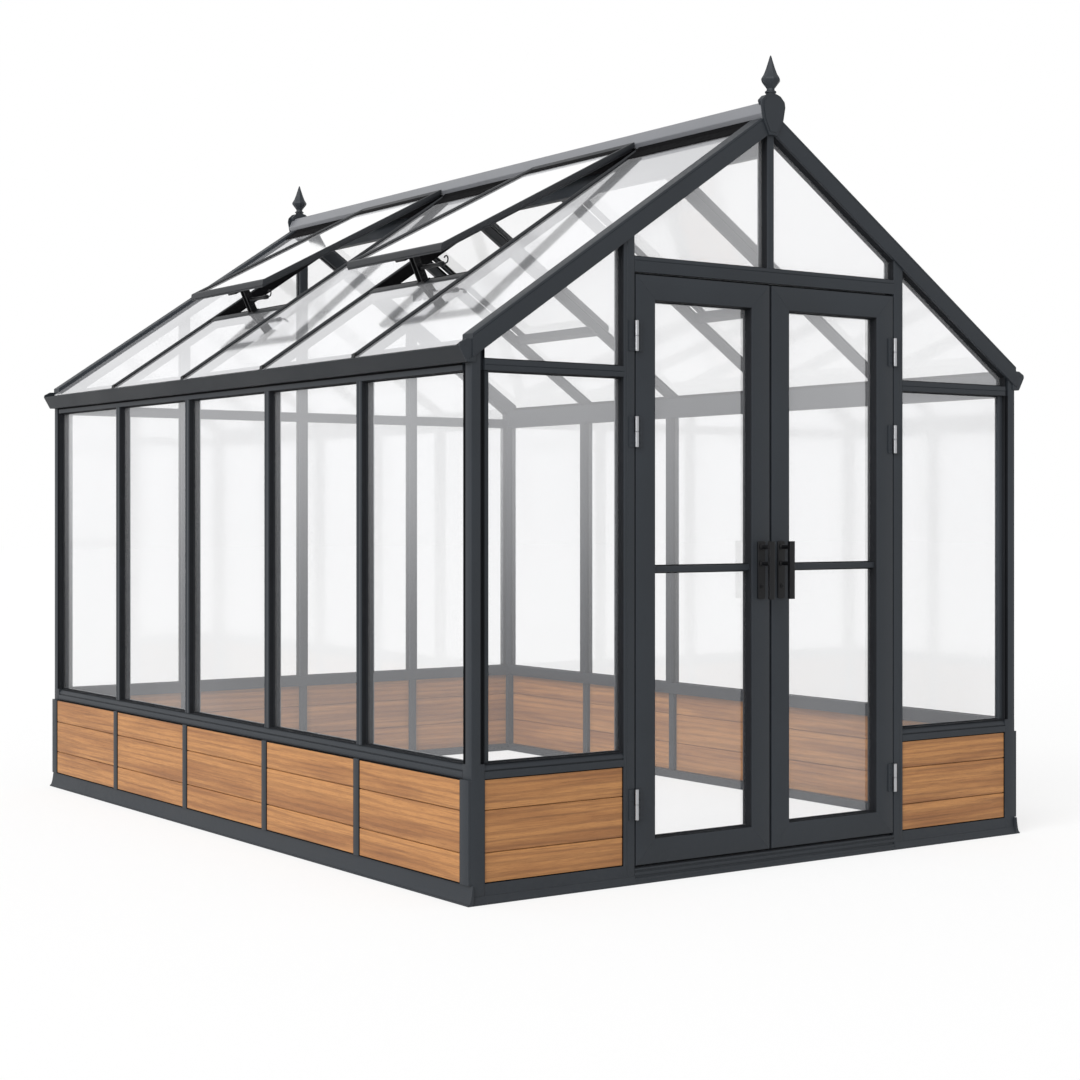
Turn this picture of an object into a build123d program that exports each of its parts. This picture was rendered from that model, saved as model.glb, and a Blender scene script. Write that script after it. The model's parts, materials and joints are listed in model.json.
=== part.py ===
from build123d import *
import os
from math import cos, radians, sin, tan

# A free-standing glass greenhouse. Millimetres, +Z up, ground at Z = 0.
# The doors are in the front gable, which faces -Y. X runs across, Y runs along the ridge.

# ---- Overall sizes -------------------------------------------------------------------
WIDTH = 2440.0            # across the outer faces of the corner posts
BAY = 660.0               # spacing of the glazing bars along the sides
BAYS = 5                  # bays along each side
POST = 50.0               # corner post, square, and depth of the wall framing
SILL_TOP = 430.0          # top of the sill rail, where the glass starts
EAVE_BOTTOM = 1642.0      # underside of the eave beams and the gable cross-rails
ROOF_AT_WALL = 110.0      # outer roof plane above EAVE_BOTTOM, at the wall's outer face
PITCH = 34.0              # roof pitch in degrees

# ---- Base and low wall ---------------------------------------------------------------
BASE_HEIGHT = 62.0        # top of the base rails
SIDE_LIP = 18.0           # foot lip beyond the posts on the long sides
END_LIP = 10.0            # foot lip beyond the posts on the gables
LIP_HEIGHT = 9.0
LIP_GAP = 0.5             # clearance at the ends of each gable lip
SILL_HEIGHT = 46.0        # height of the sill rail
SILL_SLOPE_IN = 9.0       # how far the weathered upper edge of the sill leans in
SILL_SLOPE_DROP = 20.0
BOARD_THICKNESS = 24.0    # low wall boards
SIDE_BOARD_PROUD = 8.0    # side boards stand out from the posts
END_BOARD_RECESS = 6.0    # gable boards sit back from the posts
STRIP_WIDTH = 35.0        # cover strips between the panels
STRIP_PROUD = 11.0        # side strips stand out from the posts
STRIP_DEPTH = 45.0

# ---- Wall framing --------------------------------------------------------------------
BAR_WIDTH = 34.0          # wall glazing bars
GLASS = 4.0               # glass thickness
GLASS_RECESS = 24.0       # outer glass face behind the outer frame face
GLASS_GAP = 0.5           # clearance round each pane
CROSS_RAIL_HEIGHT = 34.0  # eave cross-rails of the gables
EDGE = 1.5                # chamfer on the long edges of the members
JOINT = 1.0               # open joint between two mitred members

# ---- Doorway -------------------------------------------------------------------------
DOORWAY = 1174.0          # clear width between the jambs
JAMB_WIDTH = 44.0
HEADER_BOTTOM = 1985.0
HEADER_HEIGHT = 50.0
THRESHOLD_HEIGHT = 52.0
KING_POST_WIDTH = 30.0

# ---- Doors ---------------------------------------------------------------------------
DOOR_SIDE_GAP = 5.0       # leaf to jamb
DOOR_MEETING_GAP = 10.0   # leaf to leaf, wide enough for both to swing at once
DOOR_TOP_GAP = 8.0
DOOR_FOOT_GAP = 8.0
DOOR_THICKNESS = 44.0
STILE = 80.0              # width of the stiles and of the top and bottom rails
MID_BAR = 20.0            # height of the thin bar across the middle
MID_BAR_DEPTH = 24.0
MID_BAR_BACK = 12.0       # the mid bar's face behind the leaf's face
DOOR_GLASS_RECESS = 30.0

# ---- Hinges and handles --------------------------------------------------------------
HINGE_HEIGHTS = (258.0, 1466.0, 1777.0)
HINGE_LENGTH = 100.0
KNUCKLE = 14.0            # knuckle diameter
HINGE_PLATE = 3.0         # plate thickness
HINGE_PLATE_WIDTH = 19.0
HINGE_PLATE_CLEAR = 1.5   # plate edge to the other half's knuckle
HANDLE_MIDDLE = 1009.0    # height of the handles' middle
HANDLE_LENGTH = 196.0
HANDLE_PLATE_WIDTH = 32.0
HANDLE_PLATE_DEPTH = 6.0
HANDLE_REACH = 62.0       # outer face of the grip in front of the leaf
GRIP_WIDTH = 22.0
GRIP_DEPTH = 16.0
STANDOFF = 14.0           # diameter
STANDOFF_HEIGHTS = (78.0, 22.0)   # above the handle's middle

# ---- Eaves ---------------------------------------------------------------------------
GUTTER_RISE = 22.0        # gutter's underside above EAVE_BOTTOM
GUTTER_HEIGHT = 50.0
GUTTER_TOP_REACH = 48.0   # outer rim beyond the posts
GUTTER_BOTTOM_REACH = 20.0
GUTTER_WALL = 3.0
END_CAP = 5.0             # thickness of the gutter's end caps
END_CAP_RISE = 22.0       # they stand above the gutter's rim, beside the rafter's foot

# ---- Roof, by depth measured square to the outer roof plane --------------------------
RAFTER_DEPTH = 62.0
RAFTER_PROUD = 8.0        # gable rafters stand out from the gable face
ROOF_BAR_WIDTH = 26.0
ROOF_BAR_TOP = 5.0
ROOF_BAR_BOTTOM = 52.0
ROOF_GLASS_TOP = 14.0
ROOF_OVERHANG = 22.0      # roof bars and glass beyond the wall face
ROOF_BAR_TAIL = 22.0      # depth of the bars' tapered tails at their ends
RIDGE_WIDTH = 100.0
RIDGE_HEIGHT = 60.0
SPINE_WIDTH = 40.0        # ridge spine between the roof bars' upper ends
SPINE_DEPTH = 118.0       # below the ridge beam

# ---- Roof vents ----------------------------------------------------------------------
VENT_BAYS = (1, 3)        # bays with a vent, counted from the front, first bay 0
VENT_ANGLE = 6.5          # opening angle of the vents on the left slope
VENT_HEAD_GAP = 0.3       # vent's head to the ridge beam
VENT_LENGTH = 945.0       # along the slope
VENT_DEPTH = 26.0
VENT_RAIL = 24.0          # width of the vent's frame rails
VENT_SIDE_GAP = 5.0       # vent to the middle of each roof bar
VENT_LIFT = 1.0           # closed vent above the bars' caps
VENT_GLASS_TOP = 8.0      # vent glass below the vent frame's top
VENT_LAP = 36.0           # closed vent's foot beyond the trimmer, measured level
TRIMMER_WIDTH = 25.0
TRIMMER_TOP = 10.0
TRIMMER_BOTTOM = 34.0
OPENER_SHIFT = 45.0       # opener towards the doors from the vent's middle
ARM = 25.0                # width of an opener arm at the vent
ARM_THICKNESS = 6.0
ARM_SPREAD = 20.0         # between the two arms of a pair
OPENER_PLATE = 78.0       # plate under the vent, along the vent
OPENER_PLATE_WIDTH = 60.0
OPENER_PLATE_THICKNESS = 8.0
CYLINDER = 18.0           # diameter of the opener's cylinder
CYLINDER_LENGTH = 150.0
OPENER_PIN = 12.0
OPENER_FOOT = 40.0        # width of each foot under the trimmer
OPENER_FOOT_SPREAD = 28.0 # between the two feet
OPENER_FOOT_DEPTH = 30.0

# ---- Finials -------------------------------------------------------------------------
FINIAL_PLATE = 8.0        # thickness of the end plate
FINIAL_PLATE_TOP = 28.0   # plate top above the ridge beam's top
FINIAL_PLATE_WIDTH = 108.0
FINIAL_SHOULDER = 14.0    # widest line below the ridge beam's top
FINIAL_WAIST = 90.0       # plate width at the ridge beam's underside
FINIAL_FOOT_DROP = 112.0  # plate foot below the ridge beam's top
FINIAL_FOOT_WIDTH = 38.0
FINIAL_NECK = 34.0        # diameter
FINIAL_COLLAR = 13.0      # height of the neck above the plate
FINIAL_BULB = 68.0        # diameter
FINIAL_BULB_LOW = 48.0    # lower edge of the bulb's ring above the plate
FINIAL_BULB_HIGH = 56.0   # upper edge of the bulb's ring
FINIAL_BULB_IN = 2.5      # how far the ring leans in
FINIAL_HEIGHT = 134.0     # above the plate

# ---- Worked out ----------------------------------------------------------------------
LENGTH = BAYS * BAY + POST
FINIAL_SET_BACK = FINIAL_NECK / 2 - RAFTER_PROUD - FINIAL_PLATE   # spear axis behind the face
REACH_BACK = FINIAL_BULB / 2 - FINIAL_SET_BACK
FRONT = -LENGTH / 2 + (HANDLE_REACH - REACH_BACK) / 2   # keeps the whole box centred
BACK = FRONT + LENGTH
HALF = WIDTH / 2
INNER = HALF - POST
SLOPE = tan(radians(PITCH))
ACROSS = cos(radians(PITCH))
APEX = EAVE_BOTTOM + ROOF_AT_WALL + SLOPE * HALF   # where the two outer roof planes meet
GUTTER_BOTTOM = EAVE_BOTTOM + GUTTER_RISE
GUTTER_TOP = GUTTER_BOTTOM + GUTTER_HEIGHT
SILL_BOTTOM = SILL_TOP - SILL_HEIGHT
BAR_LINES = [FRONT + POST / 2 + BAY * k for k in range(BAYS + 1)]
JAMB_IN = DOORWAY / 2
JAMB_OUT = JAMB_IN + JAMB_WIDTH
UPRIGHT = JAMB_IN + JAMB_WIDTH / 2
HEADER_TOP = HEADER_BOTTOM + HEADER_HEIGHT
CROSS_RAIL_TOP = EAVE_BOTTOM + CROSS_RAIL_HEIGHT
LEAF_BOTTOM = THRESHOLD_HEIGHT + DOOR_FOOT_GAP
LEAF_TOP = HEADER_BOTTOM - DOOR_TOP_GAP
LEAF_MIDDLE = (LEAF_BOTTOM + LEAF_TOP) / 2
HINGE_X = JAMB_IN - DOOR_SIDE_GAP / 2
HINGE_Y = FRONT - KNUCKLE / 2
RIDGE_BOTTOM = APEX - SLOPE * RIDGE_WIDTH / 2
RIDGE_TOP = RIDGE_BOTTOM + RIDGE_HEIGHT
SPINE_BOTTOM = RIDGE_BOTTOM - SPINE_DEPTH
VENT_UNDERSIDE = ROOF_BAR_TOP - VENT_LIFT
VENT_HEAD_SWING = (VENT_DEPTH - VENT_UNDERSIDE) / ACROSS * sin(radians(VENT_ANGLE))
VENT_HINGE_X = RIDGE_WIDTH / 2 + VENT_HEAD_GAP + VENT_HEAD_SWING
TRIMMER_OUT = VENT_HINGE_X + VENT_LENGTH * ACROSS - VENT_LAP - TRIMMER_WIDTH
ROOF_GLASS_HEAD = (APEX - ROOF_GLASS_TOP / ACROSS - RIDGE_BOTTOM) / SLOPE   # under the ridge


# ---- Helpers -------------------------------------------------------------------------
def block(x, y, z):
    """A plain box from three (low, high) pairs."""
    size = [high - low for low, high in (x, y, z)]
    middle = [(low + high) / 2 for low, high in (x, y, z)]
    return Pos(*middle) * Box(*size)


def member(x, y, z, along):
    """A box with its four long edges chamfered."""
    body = block(x, y, z)
    return chamfer(body.edges().filter_by(along), EDGE)


def gable_shape(points, y_low, y_high):
    """A flat outline in X and Z, carried from y_low to y_high."""
    outline = [(x, y_low, z) for x, z in points]
    face = make_face(Polyline(*outline, close=True))
    return extrude(face, amount=y_high - y_low, dir=(0, 1, 0))


def side_shape(points, y_low, y_high, side):
    """A gable_shape drawn for the right side, or its mirror image on the left."""
    body = gable_shape(points, y_low, y_high)
    if side < 0:
        return mirror(body, about=Plane.YZ)
    return body


def roof_height(out, depth):
    """Height of the plane that lies depth below the outer roof plane, out from the middle."""
    return APEX - SLOPE * out - depth / ACROSS


def roof_strip(out, depth, y, side):
    """A piece between two level distances out and two depths, cut plumb at both ends."""
    (near, far), (top, bottom) = out, depth
    outline = [
        (near, roof_height(near, top)),
        (far, roof_height(far, top)),
        (far, roof_height(far, bottom)),
        (near, roof_height(near, bottom)),
    ]
    return side_shape(outline, y[0], y[1], side)


def span(low, high, gap):
    """The interval from low to high, shortened by gap at each end."""
    return (low + gap, high - gap)


def both_sides(out, side):
    """An X interval given outwards from the middle, on the right (1) or left (-1)."""
    return tuple(sorted((side * out[0], side * out[1])))


def save(name, solids):
    """Write one node; its solids don't touch each other."""
    shape = solids[0] if len(solids) == 1 else Compound(children=list(solids))
    export_step(shape, f"parts/{name}.step")


SIDES = (-1, 1)
ENDS = ("front", "back")


def end_face(end, depth):
    """A Y interval from two depths measured inwards from a gable's outer face."""
    if end == "front":
        return (FRONT + depth[0], FRONT + depth[1])
    return (BACK - depth[1], BACK - depth[0])


# ---- Base ----------------------------------------------------------------------------
def base_rails():
    rails = []
    for side in SIDES:
        rail = block(both_sides((INNER, HALF), side), span(FRONT, BACK, POST), (0, BASE_HEIGHT))
        lip = block(
            both_sides((HALF, HALF + SIDE_LIP), side),
            (FRONT - END_LIP, BACK + END_LIP),
            (0, LIP_HEIGHT),
        )
        rails.append(rail + lip)
        front = block(both_sides((JAMB_OUT, INNER), side), end_face("front", (0, POST)), (0, BASE_HEIGHT))
        front_lip = block(
            both_sides((JAMB_IN, HALF - LIP_GAP), side),
            end_face("front", (-END_LIP, 0)),
            (0, LIP_HEIGHT),
        )
        rails.append(front + front_lip)
    back = block((-INNER, INNER), end_face("back", (0, POST)), (0, BASE_HEIGHT))
    back_lip = block(
        span(-HALF, HALF, LIP_GAP), end_face("back", (-END_LIP, 0)), (0, LIP_HEIGHT)
    )
    rails.append(back + back_lip)
    return rails


def threshold():
    sill = block((-JAMB_IN, JAMB_IN), end_face("front", (0, POST)), (0, THRESHOLD_HEIGHT))
    nose = block(
        span(-JAMB_IN, JAMB_IN, LIP_GAP), end_face("front", (-END_LIP, 0)), (0, LIP_HEIGHT)
    )
    return [sill + nose]


def corner_posts():
    """Posts from the ground to the underside of the gable rafters."""
    posts = []
    for side in SIDES:
        for end in ENDS:
            y = end_face(end, (0, POST))
            outline = [
                (INNER, 0),
                (HALF, 0),
                (HALF, roof_height(HALF, RAFTER_DEPTH)),
                (INNER, roof_height(INNER, RAFTER_DEPTH)),
            ]
            post = side_shape(outline, y[0], y[1], side)
            posts.append(chamfer(post.edges().filter_by(Axis.Z), EDGE))
    return posts


# ---- Low wall ------------------------------------------------------------------------
def strip_lines():
    """Y intervals of the cover strips on the long sides, from front to back."""
    first = (FRONT, FRONT + POST)
    middle = [(y - STRIP_WIDTH / 2, y + STRIP_WIDTH / 2) for y in BAR_LINES[1:-1]]
    last = (BACK - POST, BACK)
    return [first] + middle + [last]


def side_boards(side):
    strips = strip_lines()
    x = (HALF + SIDE_BOARD_PROUD - BOARD_THICKNESS, HALF + SIDE_BOARD_PROUD)
    return [
        block(both_sides(x, side), (low[1], high[0]), (BASE_HEIGHT, SILL_BOTTOM))
        for low, high in zip(strips, strips[1:])
    ]


def gable_boards(end, edges):
    """Panels between the pairs of X values in edges."""
    y = end_face(end, (END_BOARD_RECESS, END_BOARD_RECESS + BOARD_THICKNESS))
    return [block(x, y, (BASE_HEIGHT, SILL_BOTTOM)) for x in edges]


def back_edges(half_width):
    """X intervals of the back gable's four bays, between uprights of the given half width."""
    lines = [-UPRIGHT, 0, UPRIGHT]
    lows = [-INNER] + [x + half_width for x in lines]
    highs = [x - half_width for x in lines] + [INNER]
    return list(zip(lows, highs))


def front_edges():
    return [(-INNER, -JAMB_OUT), (JAMB_OUT, INNER)]


def wall_strips():
    """Cover strips; those at the corners lie on the outside of the posts."""
    z = (BASE_HEIGHT, SILL_BOTTOM)
    strips = []
    for side in SIDES:
        lines = strip_lines()
        end_x = both_sides((HALF, HALF + STRIP_PROUD), side)
        deep_x = both_sides((HALF + STRIP_PROUD - STRIP_DEPTH, HALF + STRIP_PROUD), side)
        strips += [block(end_x, lines[0], z), block(end_x, lines[-1], z)]
        strips += [block(deep_x, y, z) for y in lines[1:-1]]
    for x in (-UPRIGHT, 0, UPRIGHT):
        width = (x - STRIP_WIDTH / 2, x + STRIP_WIDTH / 2)
        strips.append(block(width, end_face("back", (0, STRIP_DEPTH)), z))
    return strips


def sill_outline(outer, inner, way):
    """Section of a sill rail with a weathered upper edge; way points outwards."""
    return [
        (inner, SILL_BOTTOM),
        (outer, SILL_BOTTOM),
        (outer, SILL_TOP - SILL_SLOPE_DROP),
        (outer - way * SILL_SLOPE_IN, SILL_TOP),
        (inner, SILL_TOP),
    ]


def sill_along_x(x, end):
    """A sill rail across a gable."""
    low, high = end_face(end, (0, POST))
    outer, inner, way = (low, high, -1) if end == "front" else (high, low, 1)
    outline = [(x[0], y, z) for y, z in sill_outline(outer, inner, way)]
    return extrude(make_face(Polyline(*outline, close=True)), amount=x[1] - x[0], dir=(1, 0, 0))


def sill_rails():
    rails = [
        side_shape(sill_outline(HALF, INNER, 1), FRONT + POST, BACK - POST, side) for side in SIDES
    ]
    rails += [sill_along_x(x, "front") for x in front_edges()]
    rails.append(sill_along_x((-INNER, INNER), "back"))
    return rails


# ---- Walls ---------------------------------------------------------------------------
def wall_bars():
    bars = []
    for side in SIDES:
        for y in BAR_LINES[1:-1]:
            width = (y - BAR_WIDTH / 2, y + BAR_WIDTH / 2)
            x = both_sides((INNER, HALF), side)
            bars.append(member(x, width, (SILL_TOP, EAVE_BOTTOM), Axis.Z))
    return bars


def upright(x, half_width, z_low, end):
    """A gable upright from z_low to the underside of the rafters."""
    y = end_face(end, (0, POST))
    tops = [(x - half_width), (x + half_width)]
    outline = [(tops[0], z_low), (tops[1], z_low)]
    outline.append((tops[1], roof_height(abs(tops[1]), RAFTER_DEPTH)))
    if x == 0:
        outline.append((0, roof_height(0, RAFTER_DEPTH)))
    outline.append((tops[0], roof_height(abs(tops[0]), RAFTER_DEPTH)))
    post = gable_shape(outline, y[0], y[1])
    return chamfer(post.edges().filter_by(Axis.Z), EDGE)


def back_uprights():
    return [upright(x, BAR_WIDTH / 2, SILL_TOP, "back") for x in (-UPRIGHT, 0, UPRIGHT)]


def eave_beams():
    """Beams along the long walls; their tops follow the underside of the roof bars."""
    outline = [
        (INNER, EAVE_BOTTOM),
        (HALF, EAVE_BOTTOM),
        (HALF, roof_height(HALF, ROOF_BAR_BOTTOM)),
        (INNER, roof_height(INNER, ROOF_BAR_BOTTOM)),
    ]
    return [side_shape(outline, FRONT + POST, BACK - POST, side) for side in SIDES]


def gutter_faces():
    outline = [
        (HALF + GUTTER_BOTTOM_REACH, GUTTER_BOTTOM),
        (HALF + GUTTER_TOP_REACH, GUTTER_TOP),
        (HALF + GUTTER_TOP_REACH - GUTTER_WALL, GUTTER_TOP),
        (HALF + GUTTER_BOTTOM_REACH - GUTTER_WALL, GUTTER_BOTTOM),
    ]
    return [side_shape(outline, FRONT, BACK, side) for side in SIDES]


def gutter_floors():
    x = (HALF, HALF + GUTTER_BOTTOM_REACH - GUTTER_WALL)
    return [
        block(both_sides(x, side), (FRONT, BACK), (GUTTER_BOTTOM, GUTTER_BOTTOM + GUTTER_WALL))
        for side in SIDES
    ]


def gutter_end_caps():
    outline = [
        (HALF, GUTTER_BOTTOM),
        (HALF + GUTTER_BOTTOM_REACH, GUTTER_BOTTOM),
        (HALF + GUTTER_TOP_REACH, GUTTER_TOP),
        (HALF + GUTTER_TOP_REACH - 2, GUTTER_TOP + END_CAP_RISE * 0.4),
        (HALF + GUTTER_BOTTOM_REACH, GUTTER_TOP + END_CAP_RISE),
        (HALF, GUTTER_TOP + END_CAP_RISE),
    ]
    return [
        side_shape(outline, *end_face(end, (-END_CAP, 0)), side) for side in SIDES for end in ENDS
    ]


def cross_rails():
    """Rails at eave height in both gables, between the posts and uprights."""
    z = (EAVE_BOTTOM, CROSS_RAIL_TOP)
    rails = [member(x, end_face("front", (0, POST)), z, Axis.X) for x in front_edges()]
    for x in back_edges(BAR_WIDTH / 2):
        rails.append(member(x, end_face("back", (0, POST)), z, Axis.X))
    return rails


def door_jambs():
    return [upright(side * UPRIGHT, JAMB_WIDTH / 2, 0, "front") for side in SIDES]


def door_header():
    x = (-JAMB_IN, JAMB_IN)
    return [member(x, end_face("front", (0, POST)), (HEADER_BOTTOM, HEADER_TOP), Axis.X)]


# ---- Roof ----------------------------------------------------------------------------
def gable_rafters():
    """Rafters cut level under the ridge beam, with an open joint in the middle."""
    flat = (APEX - RIDGE_BOTTOM) / SLOPE
    outline = [
        (JOINT / 2, RIDGE_BOTTOM),
        (flat, RIDGE_BOTTOM),
        (HALF, roof_height(HALF, 0)),
        (HALF, roof_height(HALF, RAFTER_DEPTH)),
        (JOINT / 2, roof_height(JOINT / 2, RAFTER_DEPTH)),
    ]
    return [
        side_shape(outline, *end_face(end, (-RAFTER_PROUD, POST)), side)
        for end in ENDS
        for side in SIDES
    ]


def ridge_beam():
    x = (-RIDGE_WIDTH / 2, RIDGE_WIDTH / 2)
    return [member(x, span(FRONT, BACK, -RAFTER_PROUD), (RIDGE_BOTTOM, RIDGE_TOP), Axis.Y)]


def ridge_spine():
    """The web under the ridge beam that takes the roof bars' upper ends."""
    x = (-SPINE_WIDTH / 2, SPINE_WIDTH / 2)
    return [block(x, span(FRONT, BACK, POST), (SPINE_BOTTOM, RIDGE_BOTTOM))]


def roof_bars():
    """Bars from the ridge spine to tapered tails over the gutters, cut under the ridge beam."""
    near, far = SPINE_WIDTH / 2, HALF + ROOF_OVERHANG
    cut = (APEX - ROOF_BAR_TOP / ACROSS - RIDGE_BOTTOM) / SLOPE
    outline = [
        (near, RIDGE_BOTTOM),
        (cut, RIDGE_BOTTOM),
        (far, roof_height(far, ROOF_BAR_TOP)),
        (far, roof_height(far, ROOF_BAR_TAIL)),
        (HALF, roof_height(HALF, ROOF_BAR_BOTTOM)),
        (near, roof_height(near, ROOF_BAR_BOTTOM)),
    ]
    return [
        side_shape(outline, line - ROOF_BAR_WIDTH / 2, line + ROOF_BAR_WIDTH / 2, side)
        for side in SIDES
        for line in BAR_LINES[1:-1]
    ]


def bay_span(index, gap):
    """Y interval of a roof bay between its bars or rafters, less a gap at each end."""
    low = FRONT + POST if index == 0 else BAR_LINES[index] + ROOF_BAR_WIDTH / 2
    high = BACK - POST if index == BAYS - 1 else BAR_LINES[index + 1] - ROOF_BAR_WIDTH / 2
    return span(low, high, gap)


def trimmers():
    out = (TRIMMER_OUT, TRIMMER_OUT + TRIMMER_WIDTH)
    return [
        roof_strip(out, (TRIMMER_TOP, TRIMMER_BOTTOM), bay_span(bay, 0), side)
        for side in SIDES
        for bay in VENT_BAYS
    ]


def vent_place(side):
    """Turns a piece drawn closed on the right slope into its place: open on the left."""
    pivot = (VENT_HINGE_X, 0, roof_height(VENT_HINGE_X, 0))

    def placed(body):
        if side > 0:
            return body
        return mirror(body.rotate(Axis(pivot, (0, 1, 0)), -VENT_ANGLE), about=Plane.YZ)

    return placed


def vent_frame(side, bay):
    """Interval sizes of one vent: level distance out, depth and Y, with the vent closed."""
    head = VENT_HINGE_X if side < 0 else RIDGE_WIDTH / 2 + VENT_HEAD_GAP
    out = (head, head + VENT_LENGTH * ACROSS)
    depth = (VENT_UNDERSIDE - VENT_DEPTH, VENT_UNDERSIDE)
    y = span(BAR_LINES[bay], BAR_LINES[bay + 1], VENT_SIDE_GAP)
    return out, depth, y


def vent_side_rails():
    rails = []
    for side in SIDES:
        place = vent_place(side)
        for bay in VENT_BAYS:
            out, depth, y = vent_frame(side, bay)
            for width in ((y[0], y[0] + VENT_RAIL), (y[1] - VENT_RAIL, y[1])):
                rails.append(place(roof_strip(out, depth, width, 1)))
    return rails


def vent_end_rails():
    rails = []
    for side in SIDES:
        place = vent_place(side)
        for bay in VENT_BAYS:
            out, depth, y = vent_frame(side, bay)
            width = span(y[0], y[1], VENT_RAIL)
            rail = VENT_RAIL * ACROSS
            for ends in ((out[0], out[0] + rail), (out[1] - rail, out[1])):
                rails.append(place(roof_strip(ends, depth, width, 1)))
    return rails


def vent_glass():
    panes = []
    for side in SIDES:
        place = vent_place(side)
        for bay in VENT_BAYS:
            out, depth, y = vent_frame(side, bay)
            rail = VENT_RAIL * ACROSS + GLASS_GAP
            top = depth[0] + VENT_GLASS_TOP
            panes.append(
                place(
                    roof_strip(
                        span(out[0], out[1], rail),
                        (top, top + GLASS),
                        span(y[0], y[1], VENT_RAIL + GLASS_GAP),
                        1,
                    )
                )
            )
    return panes


def opener_middle(bay):
    return (BAR_LINES[bay] + BAR_LINES[bay + 1]) / 2 - OPENER_SHIFT


def on_open_vent(reach, depth):
    """A point of an open vent on the right slope: how far down it, and below its plane."""
    angle = radians(PITCH - VENT_ANGLE)
    return (
        VENT_HINGE_X + reach * cos(angle) - depth * sin(angle),
        roof_height(VENT_HINGE_X, 0) - reach * sin(angle) - depth * cos(angle),
    )


def arm_outline():
    """An arm's four corners: two on the trimmer's top and two under the vent's plate."""
    low, high = TRIMMER_OUT + 1.5, TRIMMER_OUT + TRIMMER_WIDTH - 1.5
    depth = VENT_UNDERSIDE + OPENER_PLATE_THICKNESS
    start = VENT_LENGTH - 2 - OPENER_PLATE + 4
    return [
        (low, roof_height(low, TRIMMER_TOP)),
        (high, roof_height(high, TRIMMER_TOP)),
        on_open_vent(start + ARM, depth),
        on_open_vent(start, depth),
    ]


def on_left(bodies):
    return [mirror(body, about=Plane.YZ) for body in bodies]


def vent_opener_arms():
    """For each open vent, two arms from the trimmer to a plate under the vent's lower rail."""
    ends = (VENT_LENGTH - 2 - OPENER_PLATE, VENT_LENGTH - 2)
    depths = (VENT_UNDERSIDE, VENT_UNDERSIDE + OPENER_PLATE_THICKNESS)
    plate = [
        on_open_vent(ends[0], depths[0]),
        on_open_vent(ends[1], depths[0]),
        on_open_vent(ends[1], depths[1]),
        on_open_vent(ends[0], depths[1]),
    ]
    pieces = []
    for bay in VENT_BAYS:
        middle = opener_middle(bay)
        half = OPENER_PLATE_WIDTH / 2
        pieces.append(gable_shape(plate, middle - half, middle + half))
        for way in (-1, 1):
            inner = middle + way * ARM_SPREAD / 2
            y = sorted((inner, inner + way * ARM_THICKNESS))
            pieces.append(gable_shape(arm_outline(), *y))
    return on_left(pieces)


def vent_opener_cylinders():
    """For each open vent, a cylinder along the trimmer, its pin and two feet below."""
    corners = arm_outline()
    x = sum(corner[0] for corner in corners) / 4
    z = sum(corner[1] for corner in corners) / 4
    pieces = []
    for bay in VENT_BAYS:
        middle = opener_middle(bay)
        start = middle - ARM_SPREAD / 2 - ARM_THICKNESS
        plane = Plane(origin=(x, start, z), z_dir=(0, -1, 0))
        tube = plane * Pos(0, 0, CYLINDER_LENGTH / 2) * Cylinder(CYLINDER / 2, CYLINDER_LENGTH)
        pin = block(
            (x - OPENER_PIN / 2, x + OPENER_PIN / 2),
            (middle - ARM_SPREAD / 2, middle + ARM_SPREAD / 2),
            (z - OPENER_PIN / 2, z + OPENER_PIN / 2),
        )
        pieces += [tube, pin]
        for way in (-1, 1):
            inner = middle + way * OPENER_FOOT_SPREAD / 2
            foot = roof_strip(
                (TRIMMER_OUT + 2, TRIMMER_OUT + TRIMMER_WIDTH - 2),
                (TRIMMER_BOTTOM, TRIMMER_BOTTOM + OPENER_FOOT_DEPTH),
                sorted((inner, inner + way * OPENER_FOOT)),
                1,
            )
            pieces.append(foot)
    return on_left(pieces)


# ---- Glass ---------------------------------------------------------------------------
def side_wall_glass(side):
    """Panes between the bars of one long wall."""
    x = both_sides((HALF - GLASS_RECESS - GLASS, HALF - GLASS_RECESS), side)
    z = span(SILL_TOP, EAVE_BOTTOM, GLASS_GAP)
    panes = []
    for index in range(BAYS):
        low = FRONT + POST if index == 0 else BAR_LINES[index] + BAR_WIDTH / 2
        high = BACK - POST if index == BAYS - 1 else BAR_LINES[index + 1] - BAR_WIDTH / 2
        panes.append(block(x, span(low, high, GLASS_GAP), z))
    return panes


def gable_wall_glass(end, edges):
    y = end_face(end, (GLASS_RECESS, GLASS_RECESS + GLASS))
    z = span(SILL_TOP, EAVE_BOTTOM, GLASS_GAP)
    return [block(span(x[0], x[1], GLASS_GAP), y, z) for x in edges]


def gable_pane(near, far, bottom, end, side):
    """A pane under one rafter, between two distances out from the middle."""
    gap = GLASS_GAP
    top = RAFTER_DEPTH + gap
    outline = [
        (near + gap, bottom + gap),
        (far - gap, bottom + gap),
        (far - gap, roof_height(far - gap, top)),
        (near + gap, roof_height(near + gap, top)),
    ]
    return side_shape(outline, *end_face(end, (GLASS_RECESS, GLASS_RECESS + GLASS)), side)


def gable_glass():
    panes = []
    for side in SIDES:
        panes.append(gable_pane(JAMB_OUT, INNER, CROSS_RAIL_TOP, "front", side))
        panes.append(gable_pane(KING_POST_WIDTH / 2, JAMB_IN, HEADER_TOP, "front", side))
        half = BAR_WIDTH / 2
        panes.append(gable_pane(UPRIGHT + half, INNER, CROSS_RAIL_TOP, "back", side))
        panes.append(gable_pane(half, UPRIGHT - half, CROSS_RAIL_TOP, "back", side))
    return panes


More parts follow.
